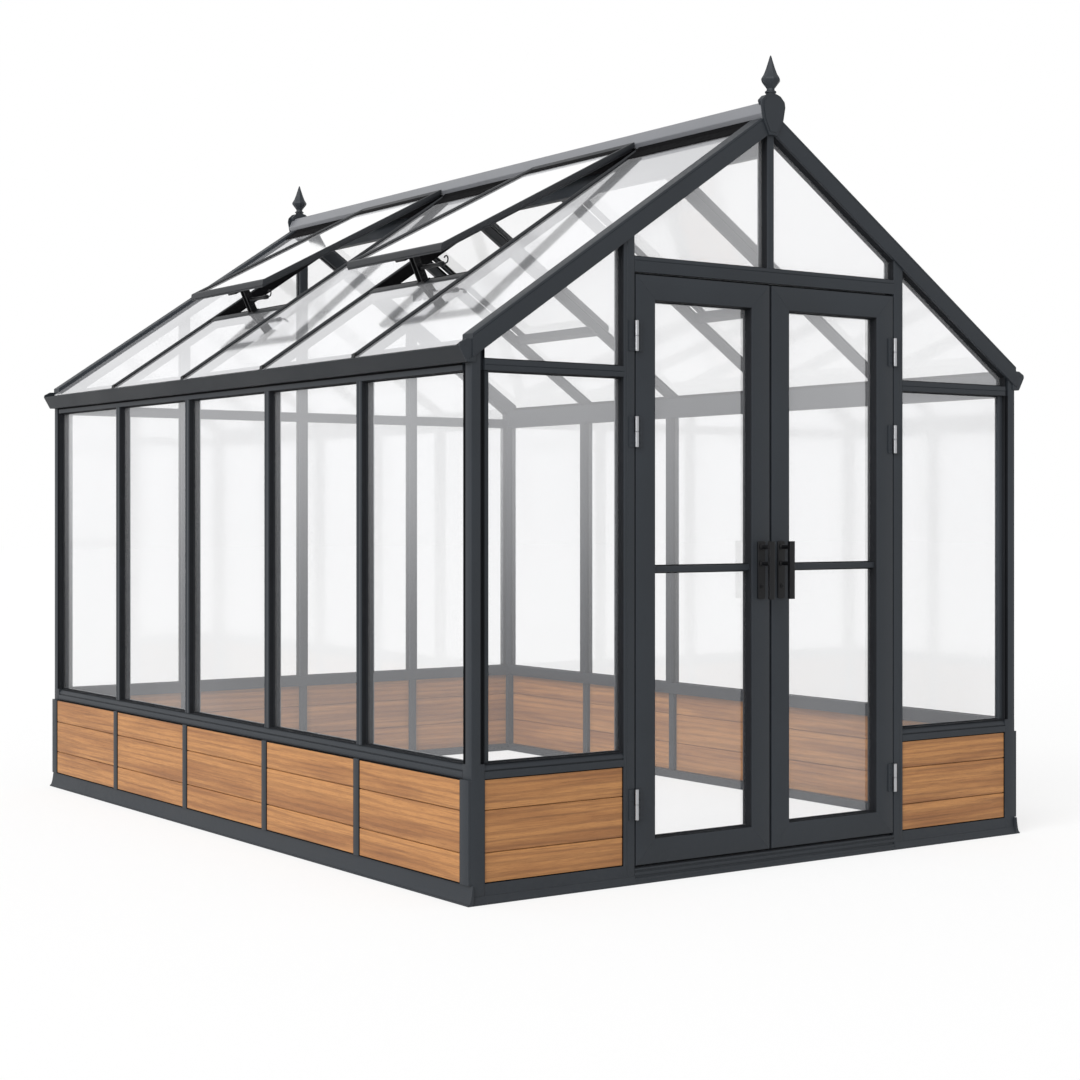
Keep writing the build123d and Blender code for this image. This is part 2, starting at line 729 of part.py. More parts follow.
def roof_glass(side):
    """Panes between the roof bars; under a vent the pane starts at the trimmer."""
    panes = []
    for bay in range(BAYS):
        near = ROOF_GLASS_HEAD + GLASS_GAP
        if bay in VENT_BAYS:
            near = TRIMMER_OUT + TRIMMER_WIDTH + GLASS_GAP
        out = (near, HALF + ROOF_OVERHANG)
        depth = (ROOF_GLASS_TOP, ROOF_GLASS_TOP + GLASS)
        panes.append(roof_strip(out, depth, bay_span(bay, GLASS_GAP), side))
    return panes


# ---- Finials -------------------------------------------------------------------------
def finials():
    """Spear finials, each on a shaped plate over the rafters' joint."""
    top = RIDGE_TOP + FINIAL_PLATE_TOP
    half = FINIAL_PLATE_WIDTH / 2
    waist = FINIAL_WAIST / 2
    foot = FINIAL_FOOT_WIDTH / 2
    neck = FINIAL_NECK / 2
    shoulder_z = RIDGE_TOP - FINIAL_SHOULDER
    foot_z = RIDGE_TOP - FINIAL_FOOT_DROP
    right = [(neck, top), (half, shoulder_z), (waist, RIDGE_BOTTOM), (foot, foot_z)]
    left = [(-x, z) for x, z in reversed(right)]
    bulb = FINIAL_BULB / 2
    profile = Polyline(
        (0, 0),
        (neck, 0),
        (neck, FINIAL_COLLAR),
        (bulb, FINIAL_BULB_LOW),
        (bulb - FINIAL_BULB_IN, FINIAL_BULB_HIGH),
        (0, FINIAL_HEIGHT),
        close=True,
    )
    spear = revolve(make_face(Plane.XZ * profile), Axis.Z)
    result = []
    for end in ENDS:
        plate_y = end_face(end, (-RAFTER_PROUD - FINIAL_PLATE, -RAFTER_PROUD))
        seat_y = end_face(end, (FINIAL_SET_BACK - neck, FINIAL_SET_BACK + neck))
        plate = gable_shape(right + left, *plate_y)
        seat = block((-neck, neck), seat_y, (RIDGE_TOP, top))
        middle = (seat_y[0] + seat_y[1]) / 2
        result.append(plate + seat + Pos(0, middle, top) * spear)
    return result


# ---- Doors ---------------------------------------------------------------------------
def leaf_span(side):
    """X interval of a leaf."""
    return both_sides((DOOR_MEETING_GAP / 2, JAMB_IN - DOOR_SIDE_GAP), side)


def door_stiles(side):
    """Upright members with mitred ends."""
    low, high = leaf_span(side)
    y = end_face("front", (0, DOOR_THICKNESS))
    stiles = []
    for outer, inner in ((low, low + STILE), (high, high - STILE)):
        outline = [
            (outer, LEAF_BOTTOM),
            (outer, LEAF_TOP),
            (inner, LEAF_TOP - STILE),
            (inner, LEAF_BOTTOM + STILE),
        ]
        stiles.append(gable_shape(outline, *y))
    return stiles


def door_rails(side):
    """Top and bottom members with mitred ends, and the thin bar across the middle."""
    low, high = leaf_span(side)
    y = end_face("front", (0, DOOR_THICKNESS))
    rails = []
    for outer, inner in ((LEAF_BOTTOM, LEAF_BOTTOM + STILE), (LEAF_TOP, LEAF_TOP - STILE)):
        outline = [(low, outer), (high, outer), (high - STILE, inner), (low + STILE, inner)]
        rails.append(gable_shape(outline, *y))
    bar_y = end_face("front", (MID_BAR_BACK, MID_BAR_BACK + MID_BAR_DEPTH))
    bar_z = (LEAF_MIDDLE - MID_BAR / 2, LEAF_MIDDLE + MID_BAR / 2)
    rails.append(member(span(low, high, STILE), bar_y, bar_z, Axis.X))
    return rails


def door_glass(side):
    """Two panes, above and below the mid bar."""
    low, high = leaf_span(side)
    x = span(low, high, STILE + GLASS_GAP)
    y = end_face("front", (DOOR_GLASS_RECESS, DOOR_GLASS_RECESS + GLASS))
    lower = span(LEAF_BOTTOM + STILE, LEAF_MIDDLE - MID_BAR / 2, GLASS_GAP)
    upper = span(LEAF_MIDDLE + MID_BAR / 2, LEAF_TOP - STILE, GLASS_GAP)
    return [block(x, y, z) for z in (lower, upper)]


def door_handle(side):
    """A back plate with a grip on two standoffs near its top."""
    x = side * (DOOR_MEETING_GAP + STILE) / 2
    z = (HANDLE_MIDDLE - HANDLE_LENGTH / 2, HANDLE_MIDDLE + HANDLE_LENGTH / 2)
    plate = block(
        (x - HANDLE_PLATE_WIDTH / 2, x + HANDLE_PLATE_WIDTH / 2),
        end_face("front", (-HANDLE_PLATE_DEPTH, 0)),
        z,
    )
    grip = member(
        (x - GRIP_WIDTH / 2, x + GRIP_WIDTH / 2),
        end_face("front", (-HANDLE_REACH, -HANDLE_REACH + GRIP_DEPTH)),
        z,
        Axis.Z,
    )
    length = HANDLE_REACH - GRIP_DEPTH - HANDLE_PLATE_DEPTH
    handle = plate + grip
    for height in STANDOFF_HEIGHTS:
        middle = (x, FRONT - HANDLE_PLATE_DEPTH - length / 2, HANDLE_MIDDLE + height)
        handle += Pos(*middle) * Rot(90, 0, 0) * Cylinder(STANDOFF / 2, length)
    return [handle]


def hinge_half(side, height, on_door):
    """One half of a hinge: a plate on the face and half of the knuckle's length."""
    way = -side if on_door else side
    middle = side * HINGE_X
    low, high = height - HINGE_LENGTH / 2, height + HINGE_LENGTH / 2
    knuckle_z = (height, high) if on_door else (low, height)
    near = KNUCKLE / 2 + HINGE_PLATE_CLEAR
    y = (FRONT - HINGE_PLATE, FRONT)
    plate_x = sorted((middle + way * near, middle + way * (near + HINGE_PLATE_WIDTH)))
    bridge_x = sorted((middle, middle + way * near))
    plate = block(plate_x, y, (low, high))
    bridge = block(bridge_x, y, knuckle_z)
    knuckle = Pos(middle, HINGE_Y, (knuckle_z[0] + knuckle_z[1]) / 2) * Cylinder(
        KNUCKLE / 2, knuckle_z[1] - knuckle_z[0]
    )
    return plate + bridge + knuckle


def hinges(side, on_door):
    return [hinge_half(side, height, on_door) for height in HINGE_HEIGHTS]


# ---- Nodes ---------------------------------------------------------------------------
def main():
    os.makedirs("parts", exist_ok=True)
    save("base_rails", base_rails())
    save("door_threshold", threshold())
    save("corner_posts", corner_posts())
    save("left_low_wall", side_boards(-1))
    save("right_low_wall", side_boards(1))
    save("back_low_wall", gable_boards("back", back_edges(STRIP_WIDTH / 2)))
    save("front_low_wall", gable_boards("front", front_edges()))
    save("low_wall_strips", wall_strips())
    save("sill_rails", sill_rails())
    save("wall_bars", wall_bars())
    save("back_uprights", back_uprights())
    save("eave_beams", eave_beams())
    save("gutter_faces", gutter_faces())
    save("gutter_floors", gutter_floors())
    save("gutter_end_caps", gutter_end_caps())
    save("gable_cross_rails", cross_rails())
    save("door_jambs", door_jambs())
    save("door_header", door_header())
    save("king_post", [upright(0, KING_POST_WIDTH / 2, HEADER_TOP, "front")])
    save("gable_rafters", gable_rafters())
    save("ridge_beam", ridge_beam())
    save("ridge_spine", ridge_spine())
    save("roof_bars", roof_bars())
    save("vent_trimmers", trimmers())
    save("vent_side_rails", vent_side_rails())
    save("vent_end_rails", vent_end_rails())
    save("vent_glass", vent_glass())
    save("vent_opener_arms", vent_opener_arms())
    save("vent_opener_cylinders", vent_opener_cylinders())
    save("left_wall_glass", side_wall_glass(-1))
    save("right_wall_glass", side_wall_glass(1))
    save("back_wall_glass", gable_wall_glass("back", back_edges(BAR_WIDTH / 2)))
    save("front_wall_glass", gable_wall_glass("front", front_edges()))
    save("gable_glass", gable_glass())
    save("left_roof_glass", roof_glass(-1))
    save("right_roof_glass", roof_glass(1))
    save("finials", finials())
    save("frame_hinges", hinges(-1, False) + hinges(1, False))
    for side, name in ((-1, "left_door"), (1, "right_door")):
        save(f"{name}_stiles", door_stiles(side))
        save(f"{name}_rails", door_rails(side))
        save(f"{name}_glass", door_glass(side))
        save(f"{name}_handle", door_handle(side))
        save(f"{name}_hinges", hinges(side, True))


main()
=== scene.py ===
"""Looks of a free-standing glass greenhouse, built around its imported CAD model.

Sizes are millimetres in the house's own frame: +Z up, the doors in the gable that faces -Y,
X across the gable and Y along the ridge. The meshes are written in metres.
"""

from __future__ import annotations

import json
import logging
import math
import random
from dataclasses import dataclass
from enum import Enum
from typing import Callable, Sequence

import bmesh
import bpy
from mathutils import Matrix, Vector

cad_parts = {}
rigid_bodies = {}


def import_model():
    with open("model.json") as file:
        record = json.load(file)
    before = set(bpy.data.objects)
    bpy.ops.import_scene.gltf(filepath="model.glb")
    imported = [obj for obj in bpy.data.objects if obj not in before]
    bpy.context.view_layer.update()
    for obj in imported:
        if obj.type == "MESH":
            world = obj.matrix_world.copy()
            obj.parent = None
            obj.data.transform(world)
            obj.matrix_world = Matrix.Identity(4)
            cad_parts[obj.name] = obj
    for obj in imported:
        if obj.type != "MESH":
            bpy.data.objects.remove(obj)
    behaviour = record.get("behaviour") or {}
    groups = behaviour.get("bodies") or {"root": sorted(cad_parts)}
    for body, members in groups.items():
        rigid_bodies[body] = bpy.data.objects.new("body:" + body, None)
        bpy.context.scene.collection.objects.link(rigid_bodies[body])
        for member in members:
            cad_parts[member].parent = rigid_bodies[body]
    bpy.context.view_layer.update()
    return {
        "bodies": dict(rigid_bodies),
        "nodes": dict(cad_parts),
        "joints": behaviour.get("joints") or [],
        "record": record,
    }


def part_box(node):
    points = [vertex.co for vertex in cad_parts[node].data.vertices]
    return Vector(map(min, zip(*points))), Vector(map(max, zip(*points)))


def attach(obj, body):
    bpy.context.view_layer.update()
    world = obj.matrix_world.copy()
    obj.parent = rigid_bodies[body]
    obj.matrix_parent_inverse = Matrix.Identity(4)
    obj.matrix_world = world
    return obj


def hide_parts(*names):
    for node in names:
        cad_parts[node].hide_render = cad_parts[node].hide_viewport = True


LOG = logging.getLogger("greenhouse")
MM = 0.001
PITCH = math.radians(34.0)
SLOPE, ACROSS = math.tan(PITCH), math.cos(PITCH)
SIDES = (-1, 1)
BAYS = 5
VENT_BAYS = (1, 3)
GLASS = 4.0
SHARP = math.radians(35.0)
UP = Vector((0, 0, 1))
TOWARDS_DOORS = Vector((0, -1, 0))

Place = Callable[[float, float], Vector]
Corner = Sequence[float]
Colour = tuple[float, ...]


class Body(Enum):
    """The bodies that pieces ride on."""

    HOUSE = "greenhouse"
    LEFT_DOOR = "left_door"
    RIGHT_DOOR = "right_door"


class Slot(Enum):
    """The record's finishes."""

    FRAME = "frame_paint"
    BLACK = "black_fittings"
    BOARDS = "boards"
    STEEL = "hinge_steel"


@dataclass(frozen=True)
class Coat:
    """A material and the record's finish that it belongs to."""

    material: bpy.types.Material
    slot: Slot


# ---- Drawing ----
@dataclass(frozen=True)
class Section:
    """A closed outline; curved[i] marks the edge from point i to the next as part of an arc."""

    points: tuple[tuple[float, float], ...]
    curved: tuple[bool, ...]

    def mirrored(self) -> Section:
        """The same outline with its first coordinate turned round."""
        return Section(tuple((-u, v) for u, v in self.points), self.curved)


def outline(*corners: Corner, radius: float = 0.0, steps: int = 3) -> Section:
    """Rounds the corners of a polygon.

    Args:
        corners: (u, v) or (u, v, radius) for each corner, in order.
        radius: Radius of the corners that give none.
        steps: Facets in each rounded corner.

    Returns:
        The rounded outline.
    """
    points: list[tuple[float, float]] = []
    curved: list[bool] = []
    for index, corner in enumerate(corners):
        here = Vector(corner[:2])
        wanted = corner[2] if len(corner) > 2 else radius
        before = Vector(corners[index - 1][:2]) - here
        after = Vector(corners[(index + 1) % len(corners)][:2]) - here
        turn = before.angle(after)
        if wanted <= 0 or turn > math.pi - 0.02:
            points.append((here.x, here.y))
            curved.append(False)
            continue
        reach = min(wanted / math.tan(turn / 2), 0.45 * before.length, 0.45 * after.length)
        size = reach * math.tan(turn / 2)
        way = (before.normalized() + after.normalized()).normalized()
        middle = here + way * (size / math.sin(turn / 2))
        first = here + before.normalized() * reach - middle
        last = here + after.normalized() * reach - middle
        start = math.atan2(first.y, first.x)
        sweep = math.atan2(first.x * last.y - first.y * last.x, first.dot(last))
        for step in range(steps + 1):
            angle = start + sweep * step / steps
            points.append((middle.x + size * math.cos(angle), middle.y + size * math.sin(angle)))
            curved.append(step < steps)
    return Section(tuple(points), tuple(curved))


def slab(u: tuple[float, float], v: tuple[float, float], radius: float = 1.5) -> Section:
    """A rectangle with rounded corners, from its two intervals."""
    return outline((u[0], v[0]), (u[1], v[0]), (u[1], v[1]), (u[0], v[1]), radius=radius)


def both_sides(half: Sequence[Corner]) -> list[Corner]:
    """Half an outline followed by its mirror image, back to the start."""
    return [*half, *[(-x, z, *radius) for x, z, *radius in reversed(half)]]


def span(one: float, two: float) -> tuple[float, float]:
    """The interval between two values, whichever comes first."""
    return (min(one, two), max(one, two))


@dataclass(frozen=True)
class Pane:
    """A framed opening: its corners as (across, up) and how they lie in the house."""

    corners: tuple[tuple[float, float], ...]
    place: Callable[[float, float, float], Vector]

    def mitres(self) -> list[Vector]:
        """For each corner, the move that shifts both its edges inwards by one.

        Returns:
            One vector for each corner.
        """
        points = [Vector(c) for c in self.corners]
        pairs = list(zip(points, points[1:] + points[:1]))
        sign = math.copysign(1, sum(a.x * b.y - b.x * a.y for a, b in pairs))
        edges = [(b - a).normalized() for a, b in pairs]
        normals = [Vector((-edge.y, edge.x)) * sign for edge in edges]
        return [(a + b) / (1 + a.dot(b)) for a, b in zip(normals[-1:] + normals, normals)]


class Builder:
    """Collects closed shells into one mesh, drawn in millimetres."""

    def __init__(self) -> None:
        """Starts with an empty mesh and a UV map for grain."""
        self.mesh = bmesh.new()
        self.grain = self.mesh.loops.layers.uv.new("grain")

    def _face(self, corners: Sequence, smooth: bool, finish: int) -> None:
        """Adds one face, unless its corners shrink to a line."""
        corners = list(dict.fromkeys(corners))
        if len(corners) > 2:
            face = self.mesh.faces.new(corners)
            face.smooth = smooth
            face.material_index = finish

    def _skin(self, rings: list[list], curved: Sequence[bool], finish: int = 0, closed: bool = False) -> None:
        """Joins rings of vertices; one vertex repeated makes a pole.

        Args:
            rings: Vertices of each ring, in order.
            curved: For each vertex, whether the edge to the next is part of an arc.
            finish: Index of the material.
            closed: True if the last ring joins the first, else both ends are capped.
        """
        for one, two in zip(rings, rings[1:] + rings[:1] if closed else rings[1:]):
            for i, smooth in enumerate(curved):
                j = (i + 1) % len(curved)
                self._face((one[i], one[j], two[j], two[i]), smooth, finish)
        if not closed:
            self._face(rings[0][::-1], False, finish)
            self._face(rings[-1], False, finish)

    def loft(
        self, rings: Sequence[Sequence[Vector]], curved: Sequence[bool], finish: int = 0, closed: bool = False
    ) -> None:
        """Skins a row of equal rings of points; the rest is as in _skin."""
        made = [[self.mesh.verts.new(point * MM) for point in ring] for ring in rings]
        self._skin(made, curved, finish, closed)

    def prism(self, section: Section, *places: Place, finish: int = 0) -> None:
        """Carries a section through two or more places, with a ring at each."""
        rings = [[place(u, v) for u, v in section.points] for place in places]
        self.loft(rings, section.curved, finish)

    def run(self, section: Section, along: Wall | RoofPlane, ends: tuple[float, float]) -> None:
        """Runs a section level along a wall or a slope, between two ends."""
        self.prism(section, along.level(ends[0]), along.level(ends[1]))

    def stand(self, section: Section, wall: Wall, along: float, heights: tuple[float, float]) -> None:
        """Stands a section up against a wall, between two heights."""
        self.prism(section, wall.upright(along, heights[0]), wall.upright(along, heights[1]))

    def surround(self, pane: Pane, section: Section, joint: float = 0.0) -> None:
        """Runs a section round an opening with mitred corners.

        Args:
            pane: The opening.
            section: Outline as (inwards from the opening's edge, depth).
            joint: Width of the open mitre joints; 0 makes one closed ring.
        """
        mitres = pane.mitres()
        points = [Vector(c) for c in pane.corners]

        def ring(i: int, shift: Vector) -> list[Vector]:
            """The section at one corner."""
            spots = [(points[i] + mitres[i] * inward + shift, depth) for inward, depth in section.points]
            return [pane.place(spot.x, spot.y, depth) for spot, depth in spots]

        if not joint:
            rings = [ring(i, Vector((0, 0))) for i in range(len(points))]
            self.loft(rings, section.curved, closed=True)
            return
        for i, here in enumerate(points):
            j = (i + 1) % len(points)
            along = (points[j] - here).normalized() * (joint / 2)
            self.loft([ring(i, along), ring(j, -along)], section.curved)

    def turned(
        self,
        profile: Sequence[tuple[float, float]],
        foot: Vector,
        axis: Vector,
        sides: int = 20,
        smooth: bool = True,
    ) -> None:
        """Turns a profile round an axis.

        Args:
            profile: (radius, height) from foot to head; a radius of 0 is a pole.
            foot: Where the axis starts.
            axis: Direction of the axis.
            sides: Facets round the axis.
            smooth: Whether the facets take smooth shading.
        """
        turn = axis.to_track_quat("Z", "Y")

        def vertex(radius: float, height: float, k: int) -> bmesh.types.BMVert:
            """One vertex of a ring."""
            angle = math.tau * (k + 0.5) / sides
            spot = Vector((radius * math.cos(angle), radius * math.sin(angle), height))
            return self.mesh.verts.new((foot + turn @ spot) * MM)

        rings = [
            [vertex(r, height, k) for k in range(sides)] if r > 0 else [vertex(0, height, 0)] * sides
            for r, height in profile
        ]
        self._skin(rings, [smooth] * sides)

    def take(self, mesh: bpy.types.Mesh) -> None:
        """Adds a plain mesh that is already in metres, and removes it."""
        self.mesh.from_mesh(mesh)
        bpy.data.meshes.remove(mesh)

    def plain(self, name: str) -> bpy.types.Mesh:
        """Writes what has been drawn as a plain mesh.

        Args:
            name: Name of the mesh.

        Returns:
            The mesh, with outward faces and sharp edges marked.
        """
        bmesh.ops.recalc_face_normals(self.mesh, faces=self.mesh.faces)
        mesh = bpy.data.meshes.new(name)
        self.mesh.to_mesh(mesh)
        self.mesh.free()
        mesh.set_sharp_from_angle(angle=SHARP)
        return mesh

    def piece(
        self, name: str, coat: Coat, *nodes: str, body: Body = Body.HOUSE, second: Coat | None = None
    ) -> None:
        """Makes a dressed piece that rides on a body.

        Args:
            name: Name of the piece.
            coat: Its finish.
            nodes: The CAD nodes that it stands for.
            body: The body that it rides on.
            second: The finish of its faces with material index 1.
        """
        mesh = self.plain(name)
        mesh.materials.clear()
        for one in (coat, second) if second else (coat,):
            mesh.materials.append(one.material)
        piece = bpy.data.objects.new(name, mesh)
        bpy.context.scene.collection.objects.link(piece)
        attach(piece, body.value)
        if nodes:
            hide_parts(*nodes)
        LOG.info("%s: %d faces", name, len(mesh.polygons))


# ---- The house's main lines ----
@dataclass(frozen=True)
class Wall:
    """One wall; depth runs inwards from its outer face."""

    runs_along_x: bool
    face: float
    way: int

    def point(self, along: float, depth: float, height: float) -> Vector:
        """The point at a world X or Y value, a depth and a height."""
        inside = self.face + self.way * depth
        return Vector((along, inside, height) if self.runs_along_x else (inside, along, height))

    def pane(self, *corners: tuple[float, float]) -> Pane:
        """An opening in this wall."""
        return Pane(corners, lambda a, z, d: self.point(a, d, z))

    def window(self, ends: tuple[float, float], low: float, high: float) -> Pane:
        """A rectangular opening in this wall."""
        return self.pane((ends[0], low), (ends[1], low), (ends[1], high), (ends[0], high))

    def upright(self, along: float, height: float) -> Place:
        """Where a section (across, depth) lies at a height."""
        return lambda across, depth: self.point(along + across, depth, height)

    def level(self, along: float) -> Place:
        """Where a section (depth, height) lies at a point along the wall."""
        return lambda depth, height: self.point(along, depth, height)

    def flat(self, along: float, depth: float) -> Place:
        """Where an outline (across, height) lies at a depth."""
        return lambda across, height: self.point(along + across, depth, height)


@dataclass(frozen=True)
class RoofPlane:
    """One roof slope, or a vent that is turned open about its hinge line."""

    side: int
    apex: float
    turn: float = 0.0
    hinge_out: float = 0.0

    def point(self, out: float, depth: float, y: float) -> Vector:
        """A point from the level distance out, the depth under the slope and Y.

        Args:
            out: Level distance from the ridge line.
            depth: Depth square to the slope.
            y: World Y.

        Returns:
            The point.
        """
        x, z = out, self.apex - SLOPE * out - depth / ACROSS
        if self.turn:
            hinge_z = self.apex - SLOPE * self.hinge_out
            dx, dz = x - self.hinge_out, z - hinge_z
            c, s = math.cos(self.turn), math.sin(self.turn)
            x, z = self.hinge_out + dx * c - dz * s, hinge_z + dx * s + dz * c
        return Vector((self.side * x, y, z))

    def down(self, y: float, out: float) -> Place:
        """Where a section (across, depth) lies on a plumb cut through a bar."""
        return lambda across, depth: self.point(out, depth, y + across)

    def level(self, y: float) -> Place:
        """Where a section (out, depth) lies at one Y."""
        return lambda out, depth: self.point(out, depth, y)

    def pane(self, y: tuple[float, float], out: tuple[float, float]) -> Pane:
        """An opening in the slope, measured up the slope."""
        low, high = out[0] / ACROSS, out[1] / ACROSS
        corners = ((y[0], low), (y[1], low), (y[1], high), (y[0], high))
        return Pane(corners, lambda across, t, d: self.point(t * ACROSS, d, across))


@dataclass(frozen=True)
class Plan:
    """Main lines of the house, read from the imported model."""

    half: float
    front: float
    back: float
    post: float
    bay: float
    base_top: float
    threshold_top: float
    sill_bottom: float
    sill_top: float
    eave: float
    cross_top: float
    gutter_bottom: float
    gutter_top: float
    gutter_reach: float
    jamb_in: float
    jamb_out: float
    header_bottom: float
    header_top: float
    ridge_half: float
    ridge_bottom: float
    ridge_top: float
    rafter_proud: float
    trimmer_far: float
    bar_width: float = 34.0
    rafter_depth: float = 62.0
    overhang: float = 22.0
    spine_half: float = 20.0

    @classmethod
    def read(cls) -> Plan:
        """Reads the lines from the boxes of the CAD nodes.

        Returns:
            The plan.
        """

        def box(node: str) -> tuple[Vector, Vector]:
            """A node's corners in millimetres."""
            low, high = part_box(node)
            return low / MM, high / MM

        post, bars, sill = box("corner_posts"), box("wall_bars"), box("sill_rails")
        door, ridge, gutter = box("door_header"), box("ridge_beam"), box("gutter_faces")
        threshold = box("door_threshold")
        return cls(
            half=post[1].x,
            front=post[0].y,
            back=post[1].y,
            post=threshold[1].y - post[0].y,
            bay=(bars[1].y - bars[0].y - cls.bar_width) / (BAYS - 2),
            base_top=box("base_rails")[1].z,
            threshold_top=threshold[1].z,
            sill_bottom=sill[0].z,
            sill_top=sill[1].z,
            eave=bars[1].z,
            cross_top=box("gable_cross_rails")[1].z,
            gutter_bottom=gutter[0].z,
            gutter_top=gutter[1].z,
            gutter_reach=gutter[1].x - post[1].x,
            jamb_in=door[1].x,
            jamb_out=box("door_jambs")[1].x,
            header_bottom=door[0].z,
            header_top=door[1].z,
            ridge_half=ridge[1].x,
            ridge_bottom=ridge[0].z,
            ridge_top=ridge[1].z,
            rafter_proud=post[0].y - box("gable_rafters")[0].y,
            trimmer_far=box("vent_trimmers")[1].x,
        )

    @property
    def inner(self) -> float:
        """Inner face of the side walls."""
        return self.half - self.post

    @property
    def apex(self) -> float:
        """Height where the two roof planes meet."""
        return self.ridge_bottom + SLOPE * self.ridge_half

    @property
    def upright_line(self) -> float:
        """Middle of the door jambs and of the outer back uprights."""
        return (self.jamb_in + self.jamb_out) / 2

    @property
    def back_lines(self) -> tuple[float, float, float]:
        """Middles of the back uprights."""
        return (-self.upright_line, 0.0, self.upright_line)

    @property
    def between_posts(self) -> tuple[float, float]:
        """Y interval between the corner posts."""
        return (self.front + self.post, self.back - self.post)

    def line(self, index: int) -> float:
        """Y of a glazing bar, counted from the front corner post."""
        return self.front + self.post / 2 + self.bay * index

    def roof_z(self, out: float, depth: float = 0.0) -> float:
        """Height of the roof at a distance out and a depth."""
        return self.apex - SLOPE * abs(out) - depth / ACROSS

    def side_wall(self, side: int) -> Wall:
        """The long wall on one side."""
        return Wall(False, side * self.half, -side)

    def gable(self, end: int) -> Wall:
        """The front (-1) or back (1) gable."""
        return Wall(True, self.front if end < 0 else self.back, -end)

    def slope(self, side: int) -> RoofPlane:
        """The roof slope on one side."""
        return RoofPlane(side, self.apex)

    def to_rafter(self, wall: Wall, line: float) -> Place:
        """Where a section (across, depth) that stands on a line meets the rafters."""
        return lambda u, d: wall.point(line + u, d, self.roof_z(line + u, self.rafter_depth))

    def bay_edges(self, index: int, half_width: float) -> tuple[float, float]:
        """Y interval of a bay between its bars or corner posts.

        Args:
            index: Bay, counted from the front.
            half_width: Half the width of a bar.

        Returns:
            The interval.
        """
        low = self.front + self.post if index == 0 else self.line(index) + half_width
        last = index == BAYS - 1
        return low, self.back - self.post if last else self.line(index + 1) - half_width

    def back_edges(self, half_width: float) -> list[tuple[float, float]]:
        """X intervals of the back gable's bays.

        Args:
            half_width: Half the width of an upright.

        Returns:
            The intervals from left to right.
        """
        lows = [-self.inner] + [x + half_width for x in self.back_lines]
        highs = [x - half_width for x in self.back_lines] + [self.inner]
        return list(zip(lows, highs))

    def front_edges(self) -> list[tuple[float, float]]:
        """X intervals beside the doorway."""
        return [(-self.inner, -self.jamb_out), (self.jamb_out, self.inner)]

    def rails(self) -> list[tuple[Wall, tuple[float, float]]]:
        """The walls that rails run along, each with the interval that they take.

        Returns:
            The sides, the front beside the doorway, and the back.
        """
        runs = [(self.side_wall(side), self.between_posts) for side in SIDES]
        runs += [(self.gable(-1), edge) for edge in self.front_edges()]
        return runs + [(self.gable(1), (-self.inner, self.inner))]


# ---- Node trees ----
class Tree:
    """Short ways to add and link nodes in one node tree."""

    def __init__(self, tree: bpy.types.NodeTree) -> None:
        """Wraps a tree."""
        self.tree = tree

    def feed(self, node: bpy.types.Node, inputs: dict) -> None:
        """Sets or links inputs of a node.

        Args:
            node: The node.
            inputs: For each input name or index, a value or the output that feeds it.
        """
        for key, value in inputs.items():
            if isinstance(value, bpy.types.Node):
                value = value.outputs[0]
            if isinstance(value, bpy.types.NodeSocket):
                self.tree.links.new(value, node.inputs[key])
            else:
                node.inputs[key].default_value = value

    def add(self, kind: str, inputs: dict | None = None, **settings: object) -> bpy.types.Node:
        """Adds a node.

        Args:
            kind: The node's type.
            inputs: For each input name or index, a value or the output that feeds it.
            settings: Properties of the node.

        Returns:
            The node.
        """
        node = self.tree.nodes.new(kind)
        for name, value in settings.items():
            setattr(node, name, value)
        self.feed(node, inputs or {})
        return node

    def sum(self, operation: str, *values: object, clamp: bool = False) -> bpy.types.NodeSocket:
        """The output of a Math node."""
        inputs = dict(enumerate(values))
        return self.add("ShaderNodeMath", inputs, operation=operation, use_clamp=clamp).outputs[0]

    def blend(self, share: object, one: object, two: object) -> bpy.types.NodeSocket:
        """The colour between two colours, by a share."""
        inputs = {0: share, 6: one, 7: two}
        return self.add("ShaderNodeMix", inputs, data_type="RGBA", blend_type="MIX").outputs[2]

    def ramp(self, value: bpy.types.NodeSocket, low: float, high: float) -> bpy.types.NodeSocket:
        """A smooth 0 to 1 between two values."""
        inputs = {"Value": value, "From Min": low, "From Max": high}
        return self.add("ShaderNodeMapRange", inputs, interpolation_type="SMOOTHSTEP").outputs[0]

    def noise(
        self, vector: object, scale: object, detail: float, rough: float = 0.5, bend: object = 0.0
    ) -> bpy.types.NodeSocket:
        """The value of a Noise texture."""
        inputs = {"Vector": vector, "Scale": scale, "Detail": detail, "Roughness": rough}
        return self.add("ShaderNodeTexNoise", {**inputs, "Distortion": bend}).outputs[0]

    def stretch(self, vector: object, scale: object) -> bpy.types.NodeSocket:
        """A vector scaled on each axis by a Mapping node."""
        return self.add("ShaderNodeMapping", {"Vector": vector, "Scale": scale}).outputs[0]

    def height(self, vector: object) -> bpy.types.NodeSocket:
        """The Z of a vector."""
        return self.add("ShaderNodeSeparateXYZ", {0: vector}).outputs[2]

    def group(self, group: bpy.types.NodeTree, inputs: dict) -> bpy.types.bpy_prop_collection:
        """The outputs of a shader node group that is placed here."""
        return self.add("ShaderNodeGroup", inputs, node_tree=group).outputs

    def dress(self, shader: bpy.types.Node, colour: object, rough: object, bump: dict) -> None:
        """Feeds a shader with a colour, a roughness and a bump from its Bump node's inputs."""
        normal = self.add("ShaderNodeBump", bump)
        self.feed(shader, {"Base Color": colour, "Roughness": rough, "Normal": normal})


